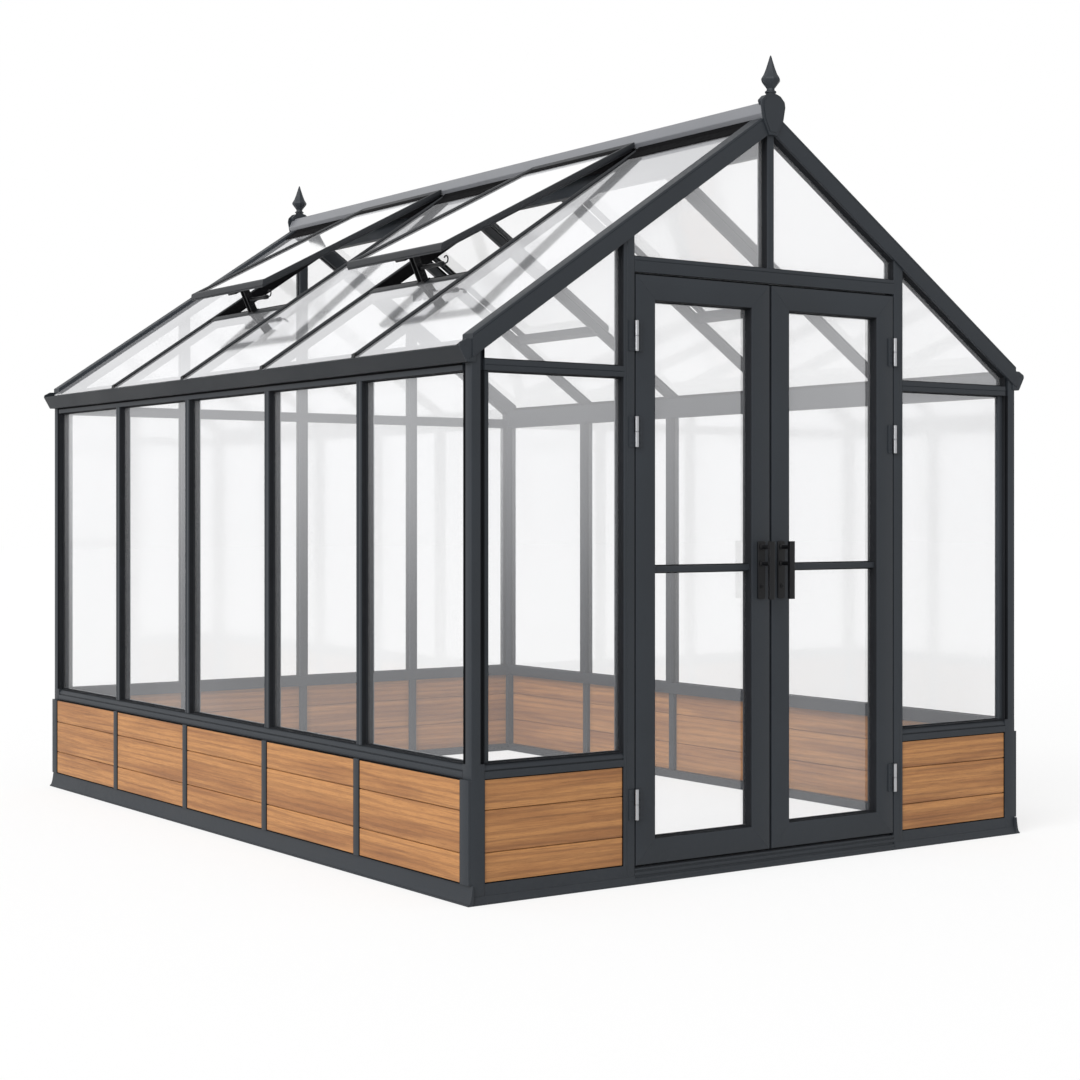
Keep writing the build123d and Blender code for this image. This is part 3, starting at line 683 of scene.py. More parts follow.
def new_group(
    name: str, kind: str, inputs: Sequence[tuple], outputs: Sequence[tuple]
) -> tuple[Tree, bpy.types.bpy_prop_collection, bpy.types.Node]:
    """Starts a node group with named sockets.

    Args:
        name: Name of the group.
        kind: Shader or Geometry.
        inputs: (name, kind of socket, default or None) for each input.
        outputs: (name, kind of socket) for each output.

    Returns:
        The tree, the values given to it and its output node.
    """
    tree = bpy.data.node_groups.new(name, f"{kind}NodeTree")
    for label, socket, default in inputs:
        made = tree.interface.new_socket(label, in_out="INPUT", socket_type=f"NodeSocket{socket}")
        if default is not None:
            made.default_value = default
    for label, socket in outputs:
        tree.interface.new_socket(label, in_out="OUTPUT", socket_type=f"NodeSocket{socket}")
    wrap = Tree(tree)
    return wrap, wrap.add("NodeGroupInput").outputs, wrap.add("NodeGroupOutput")


# ---- Repeats ----
class Repeats:
    """Geometry Nodes trees for what repeats: rows of one shape, and fasteners at points."""

    def __init__(self) -> None:
        """Builds both trees once."""
        self.row = self._row_tree()
        self.scatter = self._scatter_tree()

    @staticmethod
    def _close(
        wrap: Tree, given: bpy.types.bpy_prop_collection, out: bpy.types.Node, copies: bpy.types.Node
    ) -> bpy.types.NodeTree:
        """Ends a tree with real copies in the given finish.

        Args:
            wrap: The tree.
            given: The values given to it.
            out: Its output node.
            copies: The node that makes the copies.

        Returns:
            The tree.
        """
        solid = wrap.add("GeometryNodeRealizeInstances", {"Geometry": copies})
        dressed = wrap.add("GeometryNodeSetMaterial", {"Geometry": solid, "Material": given["Finish"]})
        wrap.feed(out, {0: dressed})
        return wrap.tree

    def _row_tree(self) -> bpy.types.NodeTree:
        """A tree that repeats the base mesh along a straight line.

        Returns:
            The tree.
        """
        inputs = (
            ("Shape", "Geometry", None), ("Count", "Int", 2), ("Step", "Vector", None),
            ("Finish", "Material", None),
        )
        wrap, given, out = new_group("row_of_one_shape", "Geometry", inputs, [("Row", "Geometry")])
        line = wrap.add("GeometryNodeMeshLine", {"Count": given["Count"], "Offset": given["Step"]})
        copies = wrap.add("GeometryNodeInstanceOnPoints", {"Points": line, "Instance": given["Shape"]})
        return self._close(wrap, given, out, copies)

    def _scatter_tree(self) -> bpy.types.NodeTree:
        """A tree that puts a template on each point, turned to the point's facing.

        Returns:
            The tree.
        """
        inputs = (
            ("Points", "Geometry", None), ("Template", "Object", None), ("Size", "Float", 1.0),
            ("Finish", "Material", None),
        )
        wrap, given, out = new_group("fasteners_on_points", "Geometry", inputs, [("Fasteners", "Geometry")])
        shape = wrap.add("GeometryNodeObjectInfo", {"Object": given["Template"]}).outputs["Geometry"]
        facing = wrap.add("GeometryNodeInputNamedAttribute", {"Name": "facing"}, data_type="FLOAT_VECTOR")
        turn = wrap.add("FunctionNodeAlignRotationToVector", {"Vector": facing}, axis="Z")
        placed = {"Points": given["Points"], "Instance": shape, "Rotation": turn, "Scale": given["Size"]}
        copies = wrap.add("GeometryNodeInstanceOnPoints", placed)
        return self._close(wrap, given, out, copies)

    @staticmethod
    def _run(tree: bpy.types.NodeTree, base: bpy.types.Mesh, values: dict) -> bpy.types.Mesh:
        """Runs a tree on a mesh.

        Args:
            tree: The tree.
            base: The mesh that it starts from, which is removed.
            values: A value for each named input.

        Returns:
            The result as a plain mesh.
        """
        carrier = bpy.data.objects.new("carrier", base)
        bpy.context.scene.collection.objects.link(carrier)
        modifier = carrier.modifiers.new("repeat", "NODES")
        modifier.node_group = tree
        for item in tree.interface.items_tree:
            if item.item_type == "SOCKET" and item.in_out == "INPUT" and item.name in values:
                modifier[item.identifier] = values[item.name]
        graph = bpy.context.evaluated_depsgraph_get()
        made = bpy.data.meshes.new_from_object(
            carrier.evaluated_get(graph), preserve_all_data_layers=True, depsgraph=graph
        )
        carrier.modifiers.remove(modifier)
        bpy.data.objects.remove(carrier)
        bpy.data.meshes.remove(base)
        return made

    def along(self, shape: Builder, count: int, step: Vector, coat: Coat) -> bpy.types.Mesh:
        """Repeats a drawn shape at steps in millimetres, as a plain mesh."""
        values = {"Count": count, "Step": step * MM, "Finish": coat.material}
        return self._run(self.row, shape.plain("shape"), values)

    def at_points(
        self, points: Sequence[tuple[Vector, Vector]], template: Builder, coat: Coat, size: float = 1.0
    ) -> bpy.types.Mesh:
        """Puts a drawn template on points.

        Args:
            points: (place, facing) of each, in millimetres.
            template: The shape, with its seat at the origin and its head along +Z.
            coat: Its finish.
            size: Scale of the shape.

        Returns:
            The fasteners as a plain mesh.
        """
        base = bpy.data.meshes.new("points")
        base.from_pydata([place * MM for place, _ in points], [], [])
        facing = base.attributes.new("facing", "FLOAT_VECTOR", "POINT")
        facing.data.foreach_set("vector", [v for _, way in points for v in way])
        head = bpy.data.objects.new("template", template.plain("template"))
        bpy.context.scene.collection.objects.link(head)
        made = self._run(self.scatter, base, {"Template": head, "Size": size, "Finish": coat.material})
        bpy.data.objects.remove(head)
        return made


def screw_head(radius: float, height: float) -> Builder:
    """A domed screw head with a hexagonal socket, seated at the origin.

    Args:
        radius: Radius of the head.
        height: Height of the dome.

    Returns:
        The head.
    """
    head = Builder()
    seat, socket = -0.6, radius * 0.42
    profile = [(0, seat), (radius, seat), (radius, height * 0.35), (radius * 0.82, height * 0.8)]
    profile += [(radius * 0.55, height), (socket, height), (socket, height * 0.35), (0, height * 0.25)]
    head.turned(profile, Vector(), UP, sides=12)
    return head


# ---- Finishes ----
class Effects:
    """Shader node groups that several finishes share."""

    def __init__(self) -> None:
        """Builds the groups once."""
        self.skin = self._skin()
        self.weather = self._weather()
        self.streaks = self._streaks()

    @staticmethod
    def _skin() -> bpy.types.NodeTree:
        """Fine skin of a sprayed or moulded surface.

        Returns:
            The group, with a height and a shade.
        """
        inputs = [("Vector", "Vector", None), ("Scale", "Float", 900.0)]
        wrap, given, out = new_group("fine_skin", "Shader", inputs, [("Height", "Float"), ("Shade", "Float")])
        fine = wrap.noise(given["Vector"], given["Scale"], 2.0)
        cells = wrap.add("ShaderNodeTexVoronoi", {"Vector": given["Vector"], "Scale": given["Scale"]})
        height = wrap.sum("MULTIPLY_ADD", cells.outputs[0], 0.4, fine)
        wrap.feed(out, {"Height": height, "Shade": wrap.ramp(fine, 0.3, 0.7)})
        return wrap.tree

    @staticmethod
    def _weather() -> bpy.types.NodeTree:
        """Broad unevenness, with dust that lies on what faces up and near the ground.

        Returns:
            The group, with a mottle and a dust mask.
        """
        inputs = [("Vector", "Vector", None), ("Scale", "Float", 3.0), ("Splash Height", "Float", 0.16)]
        wrap, given, out = new_group("weathering", "Shader", inputs, [("Mottle", "Float"), ("Dust", "Float")])
        broad = wrap.noise(given["Vector"], given["Scale"], 5.0, 0.6)
        specks = wrap.noise(given["Vector"], 55.0, 4.0, 0.7)
        up = wrap.ramp(wrap.height(wrap.add("ShaderNodeNewGeometry").outputs["Normal"]), 0.5, 1.0)
        low = wrap.sum("DIVIDE", wrap.height(given["Vector"]), given["Splash Height"], clamp=True)
        splash = wrap.sum("MULTIPLY", wrap.sum("SUBTRACT", 1.0, low), 0.55)
        lies = wrap.sum("MAXIMUM", up, splash)
        dust = wrap.sum("MULTIPLY", lies, wrap.ramp(specks, 0.25, 0.75), clamp=True)
        wrap.feed(out, {"Mottle": wrap.ramp(broad, 0.3, 0.7), "Dust": dust})
        return wrap.tree

    @staticmethod
    def _streaks() -> bpy.types.NodeTree:
        """Long marks along one direction, as in grain, wiped glass and brushed metal.

        Returns:
            The group, with soft and fine marks.
        """
        inputs = [("Vector", "Vector", None), ("Spacing", "Vector", None), ("Bend", "Float", 0.3)]
        wrap, given, out = new_group("long_streaks", "Shader", inputs, [("Soft", "Float"), ("Fine", "Float")])
        drawn = wrap.stretch(given["Vector"], given["Spacing"])
        soft = wrap.noise(drawn, 1.0, 4.0, bend=given["Bend"])
        fine = wrap.noise(drawn, 6.0, 5.0, 0.65, given["Bend"])
        wrap.feed(out, {"Soft": soft, "Fine": fine})
        return wrap.tree


def new_material(name: str) -> tuple[bpy.types.Material, Tree, bpy.types.Node]:
    """Starts a material.

    Args:
        name: Name of the material.

    Returns:
        The material, its tree and its Principled shader.
    """
    material = bpy.data.materials.new(name)
    material.use_nodes = True
    return material, Tree(material.node_tree), material.node_tree.nodes["Principled BSDF"]


def tint(colour: Colour, share: float) -> Colour:
    """A colour made lighter or darker by a share, with full alpha."""
    return (colour[0] * share, colour[1] * share, colour[2] * share, 1.0)


@dataclass(frozen=True)
class SprayedFinish:
    """Powder coat, satin black or moulded rubber, by its numbers."""

    name: str
    colour: Colour
    roughness: float = 0.45
    spread: float = 0.08
    skin_scale: float = 700.0
    skin_height: float = 0.00006
    fleck: float = 1.25
    mottle_scale: float = 2.3
    dust: float = 0.10
    dust_colour: Colour = (0.30, 0.29, 0.27, 1.0)
    specular: float = 0.2

    def make(self, effects: Effects) -> bpy.types.Material:
        """Builds the material.

        Args:
            effects: The shared groups.

        Returns:
            The material.
        """
        material, wrap, shader = new_material(self.name)
        place = wrap.add("ShaderNodeTexCoord").outputs["Object"]
        skin = wrap.group(effects.skin, {"Vector": place, "Scale": self.skin_scale})
        worn = wrap.group(effects.weather, {"Vector": place, "Scale": self.mottle_scale})
        dark, light = tint(self.colour, 1 - self.spread), tint(self.colour, 1 + self.spread)
        base = wrap.blend(worn["Mottle"], dark, light)
        flecked = wrap.blend(wrap.sum("MULTIPLY", skin["Shade"], 0.25), base, tint(self.colour, self.fleck))
        dusty = wrap.blend(wrap.sum("MULTIPLY", worn["Dust"], self.dust), flecked, self.dust_colour)
        dull = wrap.sum("MULTIPLY_ADD", worn["Dust"], 0.2, self.roughness - 0.045)
        rough = wrap.sum("MULTIPLY_ADD", worn["Mottle"], 0.09, dull)
        wrap.feed(shader, {"Specular IOR Level": self.specular})
        bump = {"Height": skin["Height"], "Distance": self.skin_height, "Strength": 0.6}
        wrap.dress(shader, dusty, rough, bump)
        return material


@dataclass(frozen=True)
class BoardFinish:
    """Oiled timber-effect boards, drawn along each board's own UV map."""

    name: str = "oiled_boards"
    light: Colour = (0.455, 0.215, 0.074, 1.0)
    middle: Colour = (0.315, 0.138, 0.048, 1.0)
    dark: Colour = (0.105, 0.042, 0.020, 1.0)
    band_spacing: Corner = (1.1, 15.0, 1.0)
    line_spacing: Corner = (2.4, 165.0, 1.0)
    pore_spacing: Corner = (38.0, 900.0, 1.0)
    figure_spacing: Corner = (0.55, 7.5, 1.0)
    grain_height: float = 0.00035

    def make(self, effects: Effects) -> bpy.types.Material:
        """Builds the material.

        Args:
            effects: The shared groups.

        Returns:
            The material.
        """
        material, wrap, shader = new_material(self.name)
        grain = wrap.add("ShaderNodeUVMap", uv_map="grain").outputs[0]
        bands = wrap.group(effects.streaks, {"Vector": grain, "Spacing": self.band_spacing, "Bend": 0.6})
        lines = wrap.group(effects.streaks, {"Vector": grain, "Spacing": self.line_spacing, "Bend": 0.3})
        pores = wrap.noise(wrap.stretch(grain, self.pore_spacing), 1.0, 2.0)
        wave = {"Vector": wrap.stretch(grain, self.figure_spacing), "Scale": 1.6, "Distortion": 7.0}
        wave |= {"Detail": 3.0, "Detail Scale": 1.1, "Detail Roughness": 0.55}
        figure = wrap.add("ShaderNodeTexWave", wave, bands_direction="Y").outputs[1]
        colour = wrap.blend(wrap.ramp(bands["Soft"], 0.36, 0.62), self.middle, self.light)
        for mask, low, high, share, dark in (
            (figure, 0.45, 0.98, 0.28, self.dark),
            (lines["Fine"], 0.47, 0.68, 0.56, self.dark),
            (lines["Soft"], 0.50, 0.68, 0.36, self.dark),
            (pores, 0.60, 0.74, 0.35, tint(self.dark, 0.7)),
        ):
            colour = wrap.blend(wrap.sum("MULTIPLY", wrap.ramp(mask, low, high), share), colour, dark)
        raised = wrap.sum("MULTIPLY", lines["Fine"], 0.8)
        height = wrap.sum("SUBTRACT", raised, wrap.ramp(pores, 0.58, 0.74))
        rough = wrap.sum("MULTIPLY_ADD", lines["Fine"], 0.22, 0.42)
        wrap.feed(shader, {"Specular IOR Level": 0.35})
        bump = {"Height": height, "Distance": self.grain_height, "Strength": 0.55}
        wrap.dress(shader, colour, rough, bump)
        return material


@dataclass(frozen=True)
class SteelFinish:
    """Brushed bright steel of the hinge knuckles."""

    name: str = "brushed_steel"
    colour: Colour = (0.40, 0.405, 0.42)
    spacing: Corner = (160.0, 160.0, 900.0)
    mark_height: float = 0.00004

    def make(self, effects: Effects) -> bpy.types.Material:
        """Builds the material.

        Args:
            effects: The shared groups.

        Returns:
            The material.
        """
        material, wrap, shader = new_material(self.name)
        place = wrap.add("ShaderNodeTexCoord").outputs["Object"]
        marks = wrap.group(effects.streaks, {"Vector": place, "Spacing": self.spacing, "Bend": 0.1})
        colour = wrap.blend(marks["Soft"], tint(self.colour, 0.88), tint(self.colour, 1.08))
        rough = wrap.sum("MULTIPLY_ADD", marks["Fine"], 0.2, 0.2)
        wrap.feed(shader, {"Metallic": 1.0})
        bump = {"Height": marks["Fine"], "Distance": self.mark_height, "Strength": 0.5}
        wrap.dress(shader, colour, rough, bump)
        return material


@dataclass(frozen=True)
class PaneFinish:
    """Clear glass with a white veil that paints the reflection of the white surroundings and lets lamps
    through.
    """

    name: str
    # The veil's shares paint the reflection of the white surroundings; the top share applies higher up on
    # walls and on faces turned up on the roof.
    bloom: float = 0.16
    top_bloom: float = 0.33
    by_height: bool = True
    streak: float = 0.05
    # edge adds veil at grazing angles, a painted reflection.
    edge: float = 0.45
    metallic: float = 0.7
    spacing: Corner = (0.9, 0.9, 0.5)
    bend: float = 0.1
    shadow_share: float = 0.25
    # The veil's white is a painted reflection, lighter higher up or where the face turns up.
    colour: Colour = (0.79, 0.795, 0.815, 1.0)
    top_colour: Colour = (0.90, 0.905, 0.925, 1.0)

    def make(self, effects: Effects) -> bpy.types.Material:
        """Builds the material.

        Args:
            effects: The shared groups.

        Returns:
            The material.
        """
        material, wrap, shader = new_material(self.name)
        place = wrap.add("ShaderNodeTexCoord").outputs["Object"]
        wiped = wrap.group(effects.streaks, {"Vector": place, "Spacing": self.spacing, "Bend": self.bend})
        facing = wrap.add("ShaderNodeLayerWeight", {"Blend": 0.25}).outputs["Facing"]
        soft = wrap.sum("MULTIPLY", wrap.ramp(wiped["Soft"], 0.42, 0.68), self.streak)
        # Painted reflection: more veil at grazing angles.
        grazing_reflection = wrap.sum("MULTIPLY", wrap.sum("POWER", facing, 2.0), self.edge)
        surface = wrap.add("ShaderNodeNewGeometry").outputs
        if self.by_height:
            high = wrap.ramp(wrap.height(place), 0.6, 1.7)
        else:
            high = wrap.ramp(wrap.height(surface["Normal"]), 0.0, 0.5)
        # Painted reflection of the white surroundings, stronger higher up or where the face turns up; the
        # soft streaks added to it are wiped marks.
        painted_reflection = wrap.sum("MULTIPLY_ADD", high, self.top_bloom - self.bloom, self.bloom)
        streaks_and_reflection = wrap.sum("ADD", wrap.sum("ADD", soft, grazing_reflection), painted_reflection, clamp=True)
        shadow = wrap.add("ShaderNodeLightPath").outputs["Is Shadow Ray"]
        lamps = wrap.sum("MULTIPLY_ADD", shadow, self.shadow_share - 1.0, 1.0)
        near_side = wrap.sum("SUBTRACT", 1.0, surface["Backfacing"])
        share = wrap.sum("MULTIPLY", wrap.sum("MULTIPLY", streaks_and_reflection, lamps), near_side, clamp=True)
        smear = wrap.sum("MULTIPLY_ADD", wiped["Fine"], 0.06, 0.03)
        colour = wrap.blend(high, self.colour, self.top_colour)
        wrap.feed(shader, {"Metallic": self.metallic, "Base Color": colour, "Roughness": smear})
        clear = wrap.add("ShaderNodeBsdfTransparent")
        mixed = wrap.add("ShaderNodeMixShader", {0: share, 1: clear, 2: shader})
        wrap.feed(wrap.tree.nodes["Material Output"], {"Surface": mixed})
        return material


class Finishes:
    """Every material of the house, made once."""

    def __init__(self) -> None:
        """Makes the materials."""
        effects = Effects()

        def sprayed(name: str, colour: Colour, slot: Slot, **numbers: float) -> Coat:
            """A sprayed or moulded coat."""
            return Coat(SprayedFinish(name, colour, **numbers).make(effects), slot)

        def above(name: str, **numbers: object) -> bpy.types.Material:
            """Glass whose painted reflection depends on how far it faces up."""
            spacing = (1.1, 0.45, 1.1)
            return PaneFinish(name, by_height=False, spacing=spacing, **numbers).make(effects)

        frame, black = Slot.FRAME, Slot.BLACK
        self.frame = sprayed("powder_coat", (0.0225, 0.0264, 0.0317), frame, dust=0.04)
        # A darker copy of the frame's paint for the roof bars, vents and trimmers: painted shade.
        self.roof_frame = sprayed(
            "powder_coat_shaded", (0.0125, 0.0142, 0.017), frame, dust=0.02, specular=0.35
        )
        # The gutter's coat is the frame's paint made darker: painted shade on the gutter faces that the lamp
        # lights most.
        self.gutter = sprayed(
            "powder_coat_gutter_painted_shade", (0.0150, 0.0176, 0.0212), frame, dust=0.03, specular=0.16
        )
        # The ridge's coat is the frame's paint made much lighter: a painted highlight of light from above on
        # its leaning faces.
        self.ridge = sprayed(
            "powder_coat_ridge_painted_highlight", (0.145, 0.150, 0.163), frame, roughness=0.33, dust=0.05, specular=0.6
        )
        self.black = sprayed(
            "satin_black", (0.004, 0.0042, 0.005), black, roughness=0.38, skin_scale=1200.0, dust=0.01,
            specular=0.22,
        )
        self.rubber = sprayed(
            "black_rubber", (0.004, 0.004, 0.0045), black, roughness=0.75, spread=0.2, dust=0.0,
            specular=0.04,
        )
        # Dark grey lining of the wall pane, post and door reveals: partly a seal, partly painted shade inside
        # the reveals.
        self.gasket_and_shade = sprayed(
            "grey_gasket_and_shade", (0.0105, 0.0115, 0.0135), black, roughness=0.7, spread=0.2, dust=0.0,
            specular=0.1,
        )
        self.boards = Coat(BoardFinish().make(effects), Slot.BOARDS)
        self.steel = Coat(SteelFinish().make(effects), Slot.STEEL)
        self.wall_glass = PaneFinish("wall_glass").make(effects)
        self.roof_glass = above(
            "roof_glass", bloom=0.14, top_bloom=0.56, streak=0.12, top_colour=(0.87, 0.875, 0.90, 1.0)
        )
        self.vent_glass = above(
            "vent_glass", bloom=0.2, top_bloom=0.80, streak=0.08, top_colour=(0.95, 0.955, 0.965, 1.0)
        )


@dataclass
class Assembly:
    """A sub-assembly, with what every one of them works with."""

    plan: Plan
    coats: Finishes
    repeats: Repeats

    def row(self, into: Builder, one: Builder, coat: Coat) -> None:
        """Adds a shape once for each glazing bar, a bay apart."""
        into.take(self.repeats.along(one, BAYS - 1, Vector((0, self.plan.bay, 0)), coat))


# ---- Footing ----
@dataclass
class Footing(Assembly):
    """Base rails with their flared feet, and the ribbed door threshold."""

    side_foot: float = 18.0
    end_foot: float = 10.0
    end_foot_height: float = 26.0
    side_board: float = 16.0
    end_board: float = 30.0
    ledge: float = 34.0
    clear: float = 0.5
    rib_pitch: float = 6.0
    rib_height: float = 1.6

    @staticmethod
    def _foot(reach: float, top: float, steps: int = 6) -> Section:
        """A flared foot (outwards, height) that hangs on a face.

        Args:
            reach: How far it stands out.
            top: Its height.
            steps: Facets in its curve.

        Returns:
            The section, with depth counted inwards.
        """
        shares = [step / steps for step in range(steps + 1)]
        curve = [(-reach + (reach - 1.5) * share, 5 + (top - 6) * share**2.6) for share in shares]
        points = [(2.0, 0.0), (-reach, 0.0), *curve, (2.0, top)]
        return Section(tuple(points), (False, False) + (True,) * steps + (False, False))

    def build(self) -> None:
        """Builds the rails and the threshold."""
        plan, rails = self.plan, Builder()
        top = plan.base_top

        def body(board: float) -> Section:
            """The rail: high in front of the boards, low behind them."""
            return outline(
                (0.3, 0), (0.3, top, 1.5), (board - 7.5, top), (board - 7.5, self.ledge - 2),
                (board, self.ledge), (plan.post - 2, self.ledge), (plan.post, self.ledge - 2),
                (plan.post, 0),
            )

        for wall, ends in plan.rails():
            rails.run(body(self.end_board if wall.runs_along_x else self.side_board), wall, ends)
        foot = self._foot(self.side_foot, top)
        for side in SIDES:
            rails.run(foot, plan.side_wall(side), (plan.front - self.end_foot, plan.back + self.end_foot))
        foot, reach = self._foot(self.end_foot, self.end_foot_height), plan.half - self.clear
        rails.run(foot, plan.gable(-1), (-reach, -plan.jamb_in))
        rails.run(foot, plan.gable(-1), (plan.jamb_in, reach))
        rails.run(foot, plan.gable(1), (-reach, reach))
        rails.piece("base_rails_flared", self.coats.frame, "base_rails")
        self._threshold()

    def _threshold(self) -> None:
        """Builds the stepped threshold with ribs on its tread."""
        plan, step, rib = self.plan, Builder(), Builder()
        half, top, reach = plan.jamb_in - self.clear, plan.threshold_top, self.end_foot
        base = top - self.rib_height
        shape = outline(
            (-reach, 0), (-reach, 5, 1.5), (-3, 9, 1), (-3, 18, 1), (2.5, 20), (2.5, 25), (0, 27, 1),
            (0, 36, 1), (3.5, 38), (3.5, 42), (0, 44, 1), (0, top - 2, 1.5), (7, base, 1.5),
            (plan.post, base, 1.5), (plan.post, 0),
        )
        step.run(shape, plan.gable(-1), (-half, half))
        tooth = outline(
            (11, base - 0.4), (11, base), (12, top, 0.6), (14, top, 0.6), (15, base), (15, base - 0.4)
        )
        rib.run(tooth, plan.gable(-1), (-half + 4, half - 4))
        count = int((plan.post - 20) / self.rib_pitch) + 1
        step.take(self.repeats.along(rib, count, Vector((0, self.rib_pitch, 0)), self.coats.frame))
        step.piece("threshold_ribbed", self.coats.frame, "door_threshold")


# ---- Corner posts ----
@dataclass
class CornerPosts(Assembly):
    """Corner posts: square at the low wall, stepped back beside the glass."""

    face: float = 34.0
    step: float = 14.0
    bead: float = 24.0
    glass_depth: float = 24.0

    def build(self) -> None:
        """Builds the four posts."""
        plan, posts, seals = self.plan, Builder(), Builder()
        size, face, step = plan.post, self.face, self.step
        edge, rear = size + self.bead, self.glass_depth - 0.1
        # The fins line the step beside the glass in dark grey: partly a seal, partly painted shade in the
        # recess.
        fin = outline(
            (face - 0.3, step + 0.2), (face - 0.3, 2), (face + 1.2, 2, 0.5), (face + 1.2, step - 1.5),
            (size, step - 1.5), (size, step + 0.2),
        )
        bead = outline(
            (size - 0.5, step), (edge - 2, step, 1.5), (edge, step + 3, 1), (edge, rear), (size - 0.5, rear)
        )
        square = slab((0, size), (0, size), 2.0)
        stepped = outline(
            (0, 0, 2.5), (face, 0, 1.2), (face, step), (size, step, 1.2), (size, size, 1.5),
            (step, size, 1.2), (step, face), (0, face, 1.2),
        )
        for side in SIDES:
            for end in SIDES:
                corner = Vector((side * plan.half, plan.gable(end).face, 0))

                def at(height: float, swap: bool = False) -> Place:
                    """Where a section lies at a height of this corner; swap exchanges its faces."""
                    top = corner + UP * height
                    if swap:
                        return lambda u, v: top - Vector((side * v, end * u, 0))
                    return lambda u, v: top - Vector((side * u, end * v, 0))

                def head(u: float, v: float) -> Vector:
                    """The post's top, cut to the rafter."""
                    return at(plan.roof_z(plan.half - u, plan.rafter_depth))(u, v)

                posts.prism(square, at(0), at(plan.sill_top))
                posts.prism(stepped, at(plan.sill_top), head)
                posts.prism(bead, at(plan.sill_top), at(plan.eave))
                for swap in (False, True):
                    seals.prism(fin, at(plan.sill_top, swap), at(plan.eave, swap))
        posts.piece("corner_posts_stepped", self.coats.frame, "corner_posts")
        seals.piece("corner_post_seals", self.coats.gasket_and_shade)


# ---- Low wall ----
@dataclass
class LowWall(Assembly):
    """Boards between cover strips, on all four walls."""

    thickness: float = 24.0
    side_proud: float = 8.0
    end_recess: float = 6.0
    strip_width: float = 35.0
    strip_proud: float = 11.0
    strip_depth: float = 45.0
    side_heel: float = 9.0
    back_heel: float = 24.0
    post_shown: float = 0.6
    seams: tuple[float, float] = (156.0, 287.0)
    gap: float = 1.6
    tongue: float = 7.0
    skirt: float = 34.0
    shadow_ring: float = 3.6
    seed: int = 11
    grain_shift: float = 40.0

    def _board(self, low: float, high: float, outer: float) -> Section:
        """A board's section (depth, height), with set-back edges that show a seam.

        Args:
            low: Lower edge.
            high: Upper edge.
            outer: Depth of the outer face.

        Returns:
            The section.
        """
        inner = outer + self.thickness
        near, far = outer + self.tongue, inner - self.tongue
        a, b = low + self.gap, high - self.gap
        if low > self.plan.base_top:
            foot = ((inner, a, 1.4), (far, a))
        else:
            foot = ((inner, self.skirt), (far, self.skirt))
        return outline(
            (outer, a, 1.4), (outer, b, 1.4), (near, b), (near, high), (far, high), (far, b),
            (inner, b, 1.4), *foot, (far, low), (near, low), (near, a),
        )

    def _panel(
        self, into: Builder, wall: Wall, along: tuple[float, float], outer: float, draw: random.Random
    ) -> None:
        """Stacks the boards of one panel, each with its own run of grain.

        Args:
            into: Where they are drawn.
            wall: The wall.
            along: The panel's interval.
            outer: Depth of its face.
            draw: Source of the grain shifts.
        """
        heights = (self.plan.base_top, *self.seams, self.plan.sill_bottom)
        for low, high in zip(heights, heights[1:]):
            first = len(into.mesh.faces)
            into.run(self._board(low, high, outer), wall, along)
            shift = Vector((draw.uniform(0, self.grain_shift), draw.uniform(0, self.grain_shift)))
            into.mesh.faces.ensure_lookup_table()
            for face in into.mesh.faces[first:]:
                for loop in face.loops:
                    spot = loop.vert.co
                    run = spot.x if wall.runs_along_x else spot.y
                    loop[into.grain].uv = (run + shift.x, spot.z + shift.y)

    def _strip_lines(self) -> list[tuple[float, float]]:
        """Y intervals of the side strips, from front to back."""
        plan, half = self.plan, self.strip_width / 2
        middle = [(plan.line(k) - half, plan.line(k) + half) for k in range(1, BAYS)]
        first, last = plan.between_posts
        return [(plan.front + self.post_shown, first), *middle, (last, plan.back - self.post_shown)]

    def build(self) -> None:
        """Builds the boards of each wall and the strips."""
        plan, seals = self.plan, Builder()
        draw = random.Random(self.seed)
        lines = self._strip_lines()
        bays = [(low[1], high[0]) for low, high in zip(lines, lines[1:])]
        gaps = plan.back_edges(self.strip_width / 2)
        for name, wall, outer, panels in (
            ("left", plan.side_wall(-1), -self.side_proud, bays),
            ("right", plan.side_wall(1), -self.side_proud, bays),
            ("front", plan.gable(-1), self.end_recess, plan.front_edges()),
            ("back", plan.gable(1), self.end_recess, gaps),
        ):
            boards = Builder()
            # A thin black ring round each board panel: painted shadow where the frame's edges meet the
            # boards.
            gasket_and_shade = slab((-0.3, self.shadow_ring), (outer - 0.8, outer + 8), 0.4)
            for along in panels:
                self._panel(boards, wall, along, outer, draw)
                seals.surround(wall.window(along, plan.base_top, plan.sill_bottom), gasket_and_shade)
            boards.piece(f"{name}_boards", self.coats.boards, f"{name}_low_wall")
        seals.piece("panel_seals", self.coats.rubber)
        self._strips(lines)

    def _strips(self, lines: Sequence[tuple[float, float]]) -> None:
        """Builds the cover strips; the four in the middle of each side are one row."""
        plan, strips = self.plan, Builder()
        low, high = plan.base_top, plan.sill_bottom

        def strip(into: Builder, wall: Wall, along: float, proud: float, heel: float) -> None:
            """Stands a strip, with its heel behind the base rail."""
            half, deep = self.strip_width / 2, self.strip_depth - proud
            into.stand(slab((-half, half), (-proud, deep), 2), wall, along, (low, high))
            into.stand(slab((-half, half), (heel, deep - 0.5), 2), wall, along, (self.skirt - 4, low + 2))

        for side in SIDES:
            wall, one = plan.side_wall(side), Builder()
            for start, stop in (lines[0], lines[-1]):
                strips.stand(slab((0, stop - start), (-self.strip_proud, 4), 1.5), wall, start, (low, high))
            strip(one, wall, plan.line(1), self.strip_proud, self.side_heel)
            self.row(strips, one, self.coats.frame)
        for x in plan.back_lines:
            strip(strips, plan.gable(1), x, 0, self.back_heel)
        strips.piece("wall_strips", self.coats.frame, "low_wall_strips")


